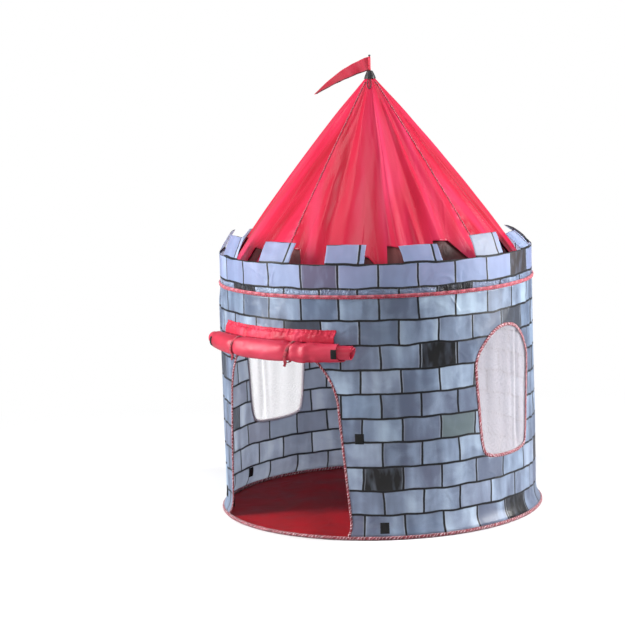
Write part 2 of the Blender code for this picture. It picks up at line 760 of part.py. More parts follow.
def roll_section():
    """The spiral, as a closed section in the YZ plane round the roll's middle."""
    steps = round(ROLL_TURNS * ROLL_POINTS_PER_TURN)
    outer = []
    inner = []
    for index in range(steps + 1):
        turns = index / ROLL_POINTS_PER_TURN
        angle = turns * math.tau - ROLL_LEAN
        radius = ROLL_RADIUS - ROLL_PITCH * turns
        outer.append((-radius * math.sin(angle), radius * math.cos(angle)))
        radius -= ROLL_CLOTH
        inner.append((-radius * math.sin(angle), radius * math.cos(angle)))
    section = outer + inner[::-1]
    return [(0.0, across - ROLL_LINE, ROLL_HEIGHT + up) for across, up in section]


def spiral_gap():
    """The least gap between the roll's own layers, measured on its points where it is slimmest."""
    slim = roll_scale(ROLL_LENGTH / 2 / ROLL_BOW)
    points = [Vector(point) for point in roll_section()]
    half = len(points) // 2
    outer = points[:half]
    inner = points[half:][::-1]
    least = min((outer[index + ROLL_POINTS_PER_TURN] - inner[index]).length
                for index in range(half - ROLL_POINTS_PER_TURN))
    return least * slim


def make_roll(hinge):
    """The rolled door: the spiral carried along its bow and drawn in towards its ends."""
    centre = Vector((0.0, ROLL_BOW - ROLL_LINE, 0.0))
    mesh = spun_solid("door_roll", roll_section(), centre, ROLL_LENGTH / ROLL_BOW, ROLL_STEPS)
    for corner in mesh.vertices:
        reach = corner.co - centre
        bow_turn = math.atan2(reach.x, -reach.y)
        scale = roll_scale(bow_turn)
        radius = ROLL_BOW + (math.hypot(reach.x, reach.y) - ROLL_BOW) * scale
        up = (corner.co.z - ROLL_HEIGHT) * scale
        flat = Vector((math.sin(bow_turn), -math.cos(bow_turn), 0.0)) * radius
        corner.co = Vector((centre.x, centre.y, ROLL_HEIGHT + up)) + flat
    hang_on(placed("door_roll", mesh, DOOR_RED), hinge)
    print(f"least gap between layers of the roll: {spiral_gap() * 1000:.2f} mm")


def hang_on(piece, hinge):
    """Parents a piece to an empty on its joint axis, where it stands."""
    piece.parent = hinge
    piece.matrix_parent_inverse = Matrix.Translation(hinge.location).inverted()


def make_tie(side, place, hinge):
    """A tape tied round the roll, with its knot and two tails in front of the lower side."""
    bow_turn = place / ROLL_BOW
    bore = ROLL_RADIUS * roll_scale(bow_turn) + TIE_PLAY
    half = TIE_WIDTH / 2
    profile = [(bore + TIE_CLOTH, half), (bore + TIE_CLOTH, -half), (bore, -half), (bore, half)]
    tie = turned(f"door_tie_{side}", profile, RED_TAPE, sides=TIE_SIDES, turn=0.0)
    stand = roll_frame(bow_turn)
    tie.matrix_world = stand @ Matrix.Rotation(math.pi / 2, 4, "Y")
    knot_place = Vector((0.0, -math.sin(math.radians(150)), math.cos(math.radians(150)))) * (bore + KNOT_RADIUS * 0.7)
    mesh = bpy.data.meshes.new(f"tie_knot_{side}")
    shape = bmesh.new()
    bmesh.ops.create_uvsphere(shape, u_segments=10, v_segments=6, radius=KNOT_RADIUS)
    bmesh.ops.scale(shape, vec=(1.1, 0.7, 0.8), verts=shape.verts)
    shape.to_mesh(mesh)
    shape.free()
    knot = helper(mesh.name, mesh)
    knot.matrix_world = stand @ Matrix.Translation(knot_place)
    boolean(tie, knot, "UNION")
    for index, lean in enumerate((math.radians(-14), math.radians(11))):
        name = f"tie_tail_{side}_{index + 1}"
        mesh = bpy.data.meshes.new(name)
        shape = bmesh.new()
        bmesh.ops.create_cube(shape, size=1.0)
        bmesh.ops.scale(shape, vec=(TAIL_WIDTH, TIE_CLOTH, TAIL_LENGTH), verts=shape.verts)
        bmesh.ops.translate(shape, vec=(0.0, 0.0, -TAIL_LENGTH / 2), verts=shape.verts)
        shape.to_mesh(mesh)
        shape.free()
        tail = helper(name, mesh)
        aside = Vector((0.0, TIE_CLOTH * (index - 0.5), 0.0))
        tail.matrix_world = stand @ Matrix.Translation(knot_place + aside) @ Matrix.Rotation(lean, 4, "Y")
        boolean(tie, tail, "UNION")
    hang_on(tie, hinge)


def make_roll_patch(side, place, hinge):
    """A square of hook-and-loop tape bent over the front of the roll."""
    bow_turn = place / ROLL_BOW
    inner_turn = (abs(place) - ROLL_PATCH_WIDTH / 2) / ROLL_BOW
    wound = (math.pi / 2 - ROLL_PATCH_TURN / 2 + ROLL_LEAN) / math.tau
    bore = (ROLL_RADIUS - ROLL_PITCH * wound) * roll_scale(inner_turn) + GAP
    half = ROLL_PATCH_WIDTH / 2
    section = [(0.0, -bore, -half), (0.0, -bore, half)]
    section += [(0.0, -bore - ROLL_PATCH_CLOTH, half), (0.0, -bore - ROLL_PATCH_CLOTH, -half)]
    mesh = spun_solid(f"roll_patch_{side}", section, (0.0, 0.0, 0.0), ROLL_PATCH_TURN, ROLL_PATCH_STEPS)
    patch = placed(mesh.name, mesh, BLACK_TAPE)
    patch.matrix_world = roll_frame(bow_turn) @ Matrix.Rotation(math.pi / 2, 4, "Y")
    hang_on(patch, hinge)


def header_foot():
    """Where the header ends over the roll, as (outward, up) from the roll's middle."""
    reach = ROLL_RADIUS + TIE_PLAY + TIE_CLOTH + 2 * GAP
    return Vector((-reach * math.sin(ROLL_LEAN), reach * math.cos(ROLL_LEAN)))


def make_header(hinge):
    """The door's top edge: sewn above the arch, then draped out to the roll."""
    foot = header_foot()

    def place(across, down):
        side = 2 * across - 1
        turn = side * HEADER_HALF_TURN
        wall = WALL_RADIUS + GAP + HEADER_CLOTH
        sewn = Vector((wall * math.sin(turn), -wall * math.cos(turn), HEADER_HEIGHT))
        if down < 1 / HEADER_ROWS:
            return sewn + Vector((0.0, 0.0, -down * HEADER_ROWS * HEADER_SEW))
        sewn.z -= HEADER_SEW
        bow_turn = side * HEADER_FOOT_TURN
        scale = roll_scale(bow_turn)
        edge = roll_frame(bow_turn) @ Vector((0.0, -foot.x * scale, foot.y * scale))
        share = (down * HEADER_ROWS - 1) / (HEADER_ROWS - 1)
        lift = HEADER_BULGE * math.sin(math.pi * share)
        return sewn.lerp(edge, share) + Vector((0.0, -lift, lift))

    mesh = grid_sheet("door_header", HEADER_COLUMNS, HEADER_ROWS, place)
    header = placed("door_header", mesh, DOOR_RED)
    thicken(header, HEADER_CLOTH)
    hang_on(header, hinge)


def make_door():
    hinge = bpy.data.objects.new("door_hinge", None)
    PARTS.objects.link(hinge)
    hinge.location = (0.0, -WALL_RADIUS - GAP, HEADER_HEIGHT)
    make_header(hinge)
    make_roll(hinge)
    for side, sign in (("right", 1), ("left", -1)):
        make_tie(side, sign * TIE_PLACE, hinge)
        make_roll_patch(side, sign * ROLL_PATCH_PLACE, hinge)


def make_patches():
    make_wall_patch("wall_patch_upper", UPPER_PATCH)
    make_wall_patch("wall_patch_right", RIGHT_PATCH)
    make_wall_patch("wall_patch_left", LEFT_PATCH)
    make_wall_patch("wall_patch_inner", INNER_PATCH, inside=True)


clear_scene()
PARTS = new_collection("castle_play_tent")
CUTTERS = new_collection("cutters")
STONE = finish("stone print polyester", (0.42, 0.47, 0.62), 0.55)
ROOF_RED = finish("crimson polyester", (0.70, 0.02, 0.07), 0.35)
DOOR_RED = finish("door polyester", (0.75, 0.05, 0.09), 0.45)
FLAG_RED = finish("flag polyester", (0.72, 0.05, 0.10), 0.45)
FLOOR_RED = finish("floor polyester", (0.20, 0.01, 0.02), 0.6)
RED_TAPE = finish("red woven tape", (0.45, 0.06, 0.08), 0.7)
BLACK_TAPE = finish("black hook and loop", (0.01, 0.01, 0.01), 0.9)
BLACK_PLASTIC = finish("black moulded plastic", (0.012, 0.012, 0.012), 0.4)
GLASS_FIBRE = finish("grey glass fibre", (0.30, 0.30, 0.30), 0.5)
STEEL = finish("spring steel wire", (0.45, 0.45, 0.46), 0.35, 1.0)
NET = finish("white netting", (0.85, 0.80, 0.85), 0.8)

make_floor()
make_hoops()
make_wall()
make_band()
make_flaps()
make_roof()
make_poles()
make_hub()
make_cap()
make_loop()
make_flag()
make_door()
make_patches()
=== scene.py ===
"""Castle tower play tent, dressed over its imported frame.

Each sub-assembly is a class that holds its sizes and builds its own cloth, tape and fittings. A turn
is an angle from the doorway towards +X, and every length is in metres.
"""

import json
import logging
import math
from collections.abc import Callable, Sequence
from dataclasses import dataclass, field
from enum import Enum
from functools import partial
from math import cos, pi, radians, sin, tau
from typing import Any, Protocol

import bmesh
import bpy
from mathutils import Matrix, Vector, noise
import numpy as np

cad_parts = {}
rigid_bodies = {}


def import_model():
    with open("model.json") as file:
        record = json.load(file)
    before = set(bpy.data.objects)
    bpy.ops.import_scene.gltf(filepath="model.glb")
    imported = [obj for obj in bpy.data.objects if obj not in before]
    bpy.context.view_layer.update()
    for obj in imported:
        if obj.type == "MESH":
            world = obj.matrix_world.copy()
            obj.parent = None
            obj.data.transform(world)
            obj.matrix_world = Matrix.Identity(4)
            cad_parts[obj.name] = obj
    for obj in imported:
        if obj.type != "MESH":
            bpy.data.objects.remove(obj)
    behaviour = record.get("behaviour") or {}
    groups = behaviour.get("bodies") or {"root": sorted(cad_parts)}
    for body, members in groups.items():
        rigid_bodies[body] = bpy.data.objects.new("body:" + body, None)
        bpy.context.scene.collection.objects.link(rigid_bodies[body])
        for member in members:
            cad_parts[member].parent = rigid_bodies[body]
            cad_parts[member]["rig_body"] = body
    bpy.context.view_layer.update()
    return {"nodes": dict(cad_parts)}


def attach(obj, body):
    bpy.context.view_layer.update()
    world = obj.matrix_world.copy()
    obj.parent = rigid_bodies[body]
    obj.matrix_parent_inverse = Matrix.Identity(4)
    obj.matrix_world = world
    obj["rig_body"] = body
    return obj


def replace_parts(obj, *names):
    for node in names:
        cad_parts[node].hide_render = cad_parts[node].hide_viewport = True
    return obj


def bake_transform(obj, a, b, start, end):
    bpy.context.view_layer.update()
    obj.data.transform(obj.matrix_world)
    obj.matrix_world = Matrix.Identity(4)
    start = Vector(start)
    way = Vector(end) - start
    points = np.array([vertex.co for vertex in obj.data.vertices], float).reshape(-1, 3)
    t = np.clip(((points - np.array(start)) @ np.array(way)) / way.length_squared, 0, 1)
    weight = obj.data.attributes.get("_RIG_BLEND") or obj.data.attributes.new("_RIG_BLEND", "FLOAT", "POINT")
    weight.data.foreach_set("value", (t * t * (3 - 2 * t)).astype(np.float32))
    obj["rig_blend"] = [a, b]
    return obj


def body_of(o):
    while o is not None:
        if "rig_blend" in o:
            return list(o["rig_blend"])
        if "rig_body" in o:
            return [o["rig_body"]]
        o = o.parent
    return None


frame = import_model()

LOG = logging.getLogger("castle_tent")
PRINT_MAP = "print"  # the UV map of every cloth: bricks and courses on printed cloth, metres elsewhere
TENT_BODY = "tent"
DOOR_BODY = "rolled_door"
FLAG_BODY = "flag"
PLAIN_WHITE = (1.0, 1.0, 1.0, 1.0)
POLYESTER_IOR = 1.53
STITCH_PITCH = 0.0075

MAIN_SETTING = {"Math": "operation", "VectorMath": "operation", "MapRange": "interpolation_type",
                "Mix": "data_type", "TexNoise": "noise_dimensions", "TexWhiteNoise": "noise_dimensions",
                "TexVoronoi": "feature", "UVMap": "uv_map"}

Node = bpy.types.Node
Material = bpy.types.Material
Mesh = bpy.types.Mesh
Piece = bpy.types.Object
Place = Callable[[float, float], Vector]
Flat = tuple[float, float]
Add = Callable[..., Node]  # add_node, in one tree


# Small helpers


def linear(code: str) -> tuple[float, float, float, float]:
    """Turns an sRGB hex colour into the linear colour that a shader takes.

    Args:
        code: Six hex digits, such as "646C80".

    Returns:
        Red, green, blue and an alpha of one.
    """
    parts = [int(code[start:start + 2], 16) / 255 for start in (0, 2, 4)]
    red, green, blue = (p / 12.92 if p <= 0.04045 else ((p + 0.055) / 1.055) ** 2.4 for p in parts)
    return red, green, blue, 1.0


def set_inputs(node: Node, sockets: dict) -> None:
    """Sets or links the inputs of a node.

    Args:
        node: The node.
        sockets: A value, hex colour, node or socket for each input, by name or by place among those in use.
    """
    used = [socket for socket in node.inputs if socket.enabled]
    named = {socket.name: socket for socket in reversed(used)}
    for name, value in sockets.items():
        target = used[name] if isinstance(name, int) else named[name]
        if isinstance(value, Node):
            value = next(socket for socket in value.outputs if socket.enabled)
        if isinstance(value, bpy.types.NodeSocket):
            node.id_data.links.new(value, target)
        else:
            target.default_value = linear(value) if isinstance(value, str) else value


def add_node(tree: bpy.types.NodeTree, kind: str, choice: str | dict | None = None, *values: Any,
             **named: Any) -> Node:
    """Adds one node with its settings and its links.

    Args:
        tree: The node tree.
        kind: Blender's identifier of the node, without the ShaderNode that all begin with.
        choice: The node's main setting, or several settings by name.
        *values: What its inputs get, in the order of the inputs in use.
        **named: What its inputs get by name.

    Returns:
        The new node.
    """
    made = tree.nodes.new(f"ShaderNode{kind}")
    settings = choice if isinstance(choice, dict) or choice is None else {MAIN_SETTING[kind]: choice}
    for name, value in (settings or {}).items():
        setattr(made, name, value)
    set_inputs(made, {**dict(enumerate(values)), **named})
    return made


def smooth(value: float, low: float, high: float) -> float:
    """Runs from 0 at low to 1 at high with soft ends."""
    share = min(1.0, max(0.0, (value - low) / (high - low)))
    return share * share * (3 - 2 * share)


def bump_at(value: float, middle: float, width: float) -> float:
    """A soft hump of height one round a middle."""
    return math.exp(-(((value - middle) / width) ** 2))


def waver(x: float, y: float, seed: float = 0.0) -> float:
    """Smooth noise between about -1 and 1, the same on every run."""
    return noise.noise(Vector((x, y, seed)))


def around(turn: float, radius: float, height: float) -> Vector:
    """A point at a turn, radius and height in the tent's frame."""
    return Vector((radius * sin(turn), -radius * cos(turn), height))


def even_steps(line: Sequence[Flat], step: float, closed: bool) -> list[Flat]:
    """Walks a flat outline in steps of one length.

    Args:
        line: The outline's points.
        step: The length of a step, in metres.
        closed: Whether the last point joins the first.

    Returns:
        Points at even distances along the outline.
    """
    points = list(line) + ([line[0]] if closed else [])
    lengths = [math.dist(a, b) for a, b in zip(points, points[1:])]
    total = sum(lengths)
    count = max(2, round(total / step))
    walked: list[Flat] = []
    index, passed = 0, 0.0
    for number in range(count if closed else count + 1):
        goal = total * number / count
        while index < len(lengths) - 1 and passed + lengths[index] < goal:
            passed += lengths[index]
            index += 1
        share = (goal - passed) / lengths[index] if lengths[index] else 0.0
        (x0, y0), (x1, y1) = points[index], points[index + 1]
        walked.append((x0 + (x1 - x0) * share, y0 + (y1 - y0) * share))
    return walked


def grown(outline: Sequence[Flat], by: float) -> list[Flat]:
    """Moves a closed anticlockwise outline outward with mitred corners."""
    moved = []
    for index, point in enumerate(outline):
        here = Vector(point)
        ahead = (Vector(outline[(index + 1) % len(outline)]) - here).normalized()
        behind = (here - Vector(outline[index - 1])).normalized()
        normal, other = Vector((ahead.y, -ahead.x)), Vector((behind.y, -behind.x))
        middle = (normal + other).normalized()
        moved.append(tuple(here + middle * (by / middle.dot(normal))))
    return moved


def inside(outline: Sequence[Flat], across: float, up: float) -> bool:
    """True if a point lies inside a closed outline."""
    found = False
    for index, (x1, y1) in enumerate(outline):
        x0, y0 = outline[index - 1]
        if (y1 > up) != (y0 > up) and across < (x0 - x1) * (up - y1) / (y0 - y1) + x1:
            found = not found
    return found


def nearest(outline: Sequence[Flat], across: float, up: float) -> Flat:
    """The point of a closed outline nearest to a given one."""
    here, best, least = Vector((across, up)), (across, up), math.inf
    for index, point in enumerate(outline):
        start, end = Vector(outline[index - 1]), Vector(point)
        side = end - start
        share = min(1.0, max(0.0, (here - start).dot(side) / max(side.length_squared, 1e-12)))
        spot = start + side * share
        if (spot - here).length < least:
            least, best = (spot - here).length, tuple(spot)
    return best


def printed_mesh(name: str, points: Sequence[Vector], faces: list[list[int]], marks: list[Flat]) -> Mesh:
    """A mesh with the print's coordinates of every face's corners in its UV map."""
    mesh = bpy.data.meshes.new(name)
    mesh.from_pydata(points, [], faces)
    layer = mesh.uv_layers.new(name=PRINT_MAP)
    layer.data.foreach_set("uv", [value for mark in marks for value in mark])
    return mesh


def new_piece(name: str, mesh: Mesh, finish: Material) -> Piece:
    """Puts a mesh in the scene with a finish and smooth shading."""
    made = bpy.data.objects.new(name, mesh)
    bpy.context.scene.collection.objects.link(made)
    mesh.materials.append(finish)
    mesh.polygons.foreach_set("use_smooth", [True] * len(mesh.polygons))
    return made


def apply_modifiers(piece: Piece) -> None:
    """Bakes a piece's modifiers into its own mesh."""
    bpy.context.view_layer.update()
    seen = piece.evaluated_get(bpy.context.evaluated_depsgraph_get())
    mesh = bpy.data.meshes.new_from_object(seen)
    mesh.name = piece.name
    piece.modifiers.clear()
    piece.data = mesh


def cloth_area(cloth: Piece) -> float:
    """The area of a cloth that is one layer thick."""
    return sum(polygon.area for polygon in cloth.data.polygons)


def dress(piece: Piece, body: str, node: str | None = None) -> Piece:
    """Names the body that carries a piece, and the node that it replaces, if any."""
    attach(piece, body)
    if node:
        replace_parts(piece, node)
    return piece


def declare_sheet(flat: Flat, area: float) -> None:
    """Takes the smaller of a sheet's flat area and the rectangle that it is cut from, and keeps nothing of
    it.

    Args:
        flat: Its width and length before it was hung, in metres.
        area: Its flat area.
    """
    min(area, flat[0] * flat[1])


def thicken(piece: Piece, thickness: float, side: float = -1.0,
            behind: Material | None = None) -> None:
    """Gives an open cloth its thickness, towards the inside by default.

    Args:
        piece: The cloth, one layer thick.
        thickness: In metres.
        side: -1 behind the face, 1 in front of it, 0 on both sides.
        behind: The finish of the face behind, where it differs.
    """
    step = piece.modifiers.new("thickness", "SOLIDIFY")
    if behind:
        piece.data.materials.append(behind)
        step.material_offset = 1
    step.thickness = thickness
    step.offset = side
    step.use_even_offset = False
    apply_modifiers(piece)


def cloth_grid(name: str, columns: int, rows: int, place: Place, finish: Material,
               printed: Callable[[float, float], Flat], ring: bool = False) -> Piece:
    """A cloth whose points a function places, with its print laid out in a UV map.

    Args:
        name: The piece's name.
        columns: Cells across.
        rows: Cells down.
        place: The point at a share across and a share down.
        finish: The cloth's material.
        printed: The print's own coordinates at the same two shares.
        ring: Whether the last column meets the first.

    Returns:
        The open cloth, one layer thick.
    """
    width = columns if ring else columns + 1
    points = [place(c / columns, r / rows) for r in range(rows + 1) for c in range(width)]
    faces, marks = [], []
    for r in range(rows):
        for c in range(columns):
            corners = ((r + 1, c), (r + 1, c + 1), (r, c + 1), (r, c))
            faces.append([row * width + column % width for row, column in corners])
            marks += [printed(column / columns, row / rows) for row, column in corners]
    return new_piece(name, printed_mesh(name, points, faces, marks), finish)


def swept(name: str, path: Sequence[Vector], outward: Sequence[Vector],
          section: Callable[[float, int], list[Flat]],
          finish: Material, closed: bool) -> Piece:
    """Carries a closed section along a path, as tape, piping or cord is laid.

    Args:
        name: The piece's name.
        path: The points of the path.
        outward: The direction away from what the path lies on, at each point.
        section: The section's points as (across, outward), at a length along the path and a step.
        finish: The material.
        closed: Whether the path's end meets its start.

    Returns:
        The piece, with metres along and across in its UV map.
    """
    count = len(path)
    points, rings, reach = [], [], []
    length = 0.0
    for index, here in enumerate(path):
        before = path[index - 1] if closed or index else here
        after = path[(index + 1) % count] if closed or index < count - 1 else here
        tangent = (after - before).normalized()
        normal = (outward[index] - tangent * outward[index].dot(tangent)).normalized()
        side = tangent.cross(normal)
        if index:
            length += (here - path[index - 1]).length
        reach.append(length)
        shape = section(length, index)
        rings.append(list(range(len(points), len(points) + len(shape))))
        points += [here + side * across + normal * out for across, out in shape]
    total = length + (path[0] - path[-1]).length
    size = len(rings[0])
    faces, marks = [], []
    girth = [0.0]
    shape = section(0.0, 0)
    for index in range(size):
        girth.append(girth[-1] + math.dist(shape[index], shape[(index + 1) % size]))
    for index in range(count if closed else count - 1):
        there = (index + 1) % count
        near, far = reach[index], total if closed and not there else reach[there]
        for k in range(size):
            j = (k + 1) % size
            faces.append([rings[index][k], rings[there][k], rings[there][j], rings[index][j]])
            marks += [(near, girth[k]), (far, girth[k]), (far, girth[k + 1]), (near, girth[k + 1])]
    if not closed:
        for ring, spot in ((rings[0][::-1], 0.0), (rings[-1], length)):
            faces.append(ring)
            marks += [(spot, girth[k]) for k in range(size)]
    mesh = printed_mesh(name, points, faces, marks)
    made = new_piece(name, mesh, finish)
    shape_up = bmesh.new()
    shape_up.from_mesh(mesh)
    bmesh.ops.recalc_face_normals(shape_up, faces=shape_up.faces)
    shape_up.to_mesh(mesh)
    shape_up.free()
    return made


def tape_section(width: float, thickness: float, pucker: float) -> Callable[[float, int], list[Flat]]:
    """The section of a folded tape, pinched a little between its stitches.

    Args:
        width: Across the tape.
        thickness: Through both of its layers.
        pucker: How far the pinches and the frayed edge move its faces.

    Returns:
        A function of the length along the tape and the step.
    """
    def section(length: float, step: int) -> list[Flat]:
        """The eight corners of the tape at one length."""
        swell = thickness / 2 + pucker * (0.5 + 0.5 * sin(length * tau / STITCH_PITCH))
        edge = width / 2 + pucker * waver(length * 90, 1.7)
        inner = width / 2 + pucker * waver(length * 90, 7.3)
        return [(-inner, -swell * 0.35), (-inner * 0.8, -swell), (edge * 0.8, -swell), (edge, -swell * 0.35),
                (edge, swell * 0.35), (edge * 0.8, swell), (-inner * 0.8, swell), (-inner, swell * 0.35)]
    return section


def tube_section(radius: float, lump: float, sides: int = 10) -> Callable[[float, int], list[Flat]]:
    """The section of cloth sewn round a wire: a ring that swells and pinches along its length.

    Args:
        radius: The ring's mean radius.
        lump: How far the cloth stands in or out.
        sides: Corners of the ring.

    Returns:
        A function of the length along the sleeve and the step.
    """
    def section(length: float, step: int) -> list[Flat]:
        """The ring's corners at one length."""
        ring = []
        for index in range(sides):
            angle = -index * tau / sides
            reach = radius + lump * waver(length * 55 + 3 * cos(angle), 3 * sin(angle), 4.2)
            ring.append((reach * cos(angle), reach * sin(angle)))
        return ring
    return section


# Finishes


def bare_material(name: str) -> tuple[Material, Add, Node]:
    """A material with only its output, and one shader linked to it.

    Args:
        name: The material's name.

    Returns:
        The material, the function that adds a node to it, and its shader.
    """
    made = bpy.data.materials.new(name)
    made.use_nodes = True
    made.node_tree.nodes.clear()
    add = partial(add_node, made.node_tree)
    shader = add("BsdfPrincipled")
    add("OutputMaterial", Surface=shader)
    return made, add, shader


def show(surface: Node) -> None:
    """Links another surface than the bare shader to its material's output."""
    set_inputs(surface.id_data.nodes["Material Output"], {"Surface": surface})


class Finish(Protocol):
    """What every finish can do."""

    def build(self) -> Material:
        """Makes the material."""


class BrickShade(Enum):
    """The odd-coloured bricks of the print, as sRGB colours, and one pale brick that is a painted highlight.
    """

    BLACK = "0E0F10"
    CHARCOAL = "3C4350"
    GREEN_GREY = "66777C"
    BROWN_BLACK = "2A2223"
    PURPLE_GREY = "605F7C"
    # A painted highlight, not print: it lightens a flap that leans into the light.
    PAINTED_HIGHLIGHT = "98A7BC"


@dataclass(frozen=True)
class StonePrintPolyester:
    """Polyester taffeta, calendered and printed by dye transfer.

    The print soaks into flat, slightly shiny cloth: no relief at the joints, soft clouds inside each
    brick, a hand-drawn black joint with a pale edge beside it, and fine creases that catch the light.
    """

    name: str = "dye_printed_polyester_taffeta"
    brick_length: float = 0.1148  # a 26th of the way round
    course_height: float = 0.0702
    joint: float = 0.0032  # half the width of a drawn joint
    pale_edge: float = 0.0064
    roughness: float = 0.38  # calendered polyester is 0.35 to 0.5
    dark: str = "545F76"
    middle: str = "66738B"
    light: str = "8DA0B9"
    highlight: str = "C0D6EA"
    violet: str = "7A728A"
    blue: str = "6E8CAA"
    band: str = "A2B5E4"
    joint_ink: str = "040405"
    glow: float = 0.32  # the power that pales the print for light that comes through it
    through: float = 0.34  # how much of the light that meets it goes into the cloth
    course_numbers: int = 64  # apart, so that a course and a place round make one number
    piped_course: int = 10  # the strip of half bricks over the piping
    # The course and the place round of the bricks that differ from their neighbours.
    odd_bricks: tuple[tuple[BrickShade, tuple[tuple[int, int], ...]], ...] = (
        (BrickShade.BLACK, ((2, 3), (7, 4), (7, 9), (0, 7), (10, -1), (10, 5), (10, -8), (12, 10), (5, -7),
                            (1, -12))),
        (BrickShade.CHARCOAL, ((8, 1), (8, 7), (3, -5), (11, -6), (6, -3))),
        (BrickShade.GREEN_GREY, ((4, 5), (8, -10))),
        (BrickShade.BROWN_BLACK, ((2, 9), (11, 7))),
        (BrickShade.PURPLE_GREY, ((11, 1),)),
        # This pale brick on the fourth flap is a painted highlight, where the flap leans into the light.
        (BrickShade.PAINTED_HIGHLIGHT, ((12, 6),)),
    )

    def build(self) -> Material:
        """The printed cloth, laid out by the print map in bricks and courses."""
        made, add, shader = bare_material(self.name)
        uv = add("UVMap", PRINT_MAP)
        metres = add("VectorMath", "MULTIPLY", uv, (self.brick_length, self.course_height, 1.0))
        # The drawn joints wander by about 2 mm, and their edges by half a millimetre.
        wander = add("TexNoise", "2D", metres, 11.0, 1.0, 0.5)
        ragged = add("TexNoise", "2D", metres, 130.0, 1.0)
        swing = add("VectorMath", "MULTIPLY_ADD", wander.outputs["Color"], (0.09, 0.15, 0.0),
                    (-0.045, -0.075, 0.0))
        fray = add("VectorMath", "MULTIPLY_ADD", ragged.outputs["Color"], (0.007, 0.012, 0.0), swing)
        drawn = add("VectorMath", "ADD", uv, fray)
        spot = add("SeparateXYZ", None, drawn)
        course = add("Math", "FLOOR", spot.outputs[1])
        half = add("Math", "MULTIPLY", course, 0.5)
        odd = add("Math", "FRACT", half)
        # Even courses lie half a brick over.
        start = add("Math", "SUBTRACT", 0.5, odd)
        place = add("Math", "ADD", spot.outputs[0], start)
        cell = add("Math", "FLOOR", place)
        across = add("Math", "FRACT", place)
        up = add("Math", "FRACT", spot.outputs[1])
        gap_x = self._edge(add, across, self.brick_length)
        gap_y = self._edge(add, up, self.course_height)
        gap = add("Math", "SMOOTH_MIN", gap_x, gap_y, 0.002)
        ink = add("MapRange", "SMOOTHSTEP", gap, self.joint * 0.75, self.joint * 1.25, 1.0, 0.0)
        # The pale edge follows the upright joints, and hardly shows along the level ones.
        wide_y = add("Math", "MULTIPLY_ADD", gap_y, 1.5, 0.0012)
        edge = add("Math", "MINIMUM", gap_x, wide_y)
        beside = add("MapRange", "SMOOTHSTEP", edge, self.joint * 1.2, self.pale_edge, 1.0, 0.0)
        name_of_brick = add("CombineXYZ", None, cell, course)
        chance = add("TexWhiteNoise", "2D", Vector=name_of_brick)
        lots = add("SeparateColor", None, chance.outputs["Color"])
        colour = self._clouds(add, metres, chance, lots)
        # The band over the piping was printed in a bluer, lighter grey.
        upper = add("MapRange", None, course, 9.4, 10.6, 0.0, 0.55)
        colour = add("Mix", "RGBA", upper, colour, self.band)
        colour = self._odd_colours(add, cell, course, colour, metres)
        # The pale edge is strong on some bricks and nearly missing on others.
        edge_amount = add("Math", "MULTIPLY_ADD", lots.outputs[1], 0.75, 0.0)
        pale = add("Math", "MULTIPLY", beside, edge_amount)
        colour = add("Mix", "RGBA", pale, colour, "C6D2E4")
        colour = add("Mix", "RGBA", ink, colour, self.joint_ink)
        shine = add("MapRange", None, chance.outputs["Value"], 0.0, 1.0, self.roughness - 0.05,
                    self.roughness + 0.06)
        # The band's cloth is stiffened rather than calendered, so that its shine is broader and duller.
        dull = add("Math", "MULTIPLY_ADD", upper, 0.26, shine)
        # The strip over the piping is gathered in its seam, in short puckers about 15 mm apart.
        strip = add("Math", "COMPARE", course, float(self.piped_course), 0.1)
        pucker = add("TexNoise", "2D", Vector=metres, Scale=65.0, Detail=2.0, Roughness=0.6, Distortion=1.2)
        height = add("Math", "MULTIPLY", strip, pucker)
        relief = add("Bump", None, Strength=1.0, Distance=0.012, Height=height,
                     Normal=cloth_relief(add, metres, 0.6))
        set_inputs(shader, {"Base Color": colour, "Roughness": dull, "Normal": relief, "IOR": POLYESTER_IOR,
                            "Sheen Weight": 0.22, "Sheen Roughness": 0.4, "Sheen Tint": "C8D6F0"})
        # Thin cloth: some light goes through it, paler than the print, but hardly any through its black.
        lit = add("Gamma", None, colour, self.glow)
        glow = add("BsdfTranslucent", None, lit)
        cloth = add("MixShader", None, self.through, shader, glow)
        show(cloth)
        return made

    def _edge(self, add: Add, share: Node, size: float) -> Node:
        """The distance in metres to the nearer of two joints, from the share between them."""
        middle = add("Math", "SUBTRACT", share, 0.5)
        off = add("Math", "ABSOLUTE", middle)
        return add("Math", "MULTIPLY_ADD", off, -size, size / 2)

    def _clouds(self, add: Add, metres: Node, chance: Node,
                lots: Node) -> Node:
        """The printed stone: soft clouds, upright smears and each brick's own shade.

        Args:
            add: Adds a node.
            metres: The print's coordinates in metres.
            chance: The brick's own random value.
            lots: The brick's own three random values.

        Returns:
            The node whose colour is the stone's.
        """
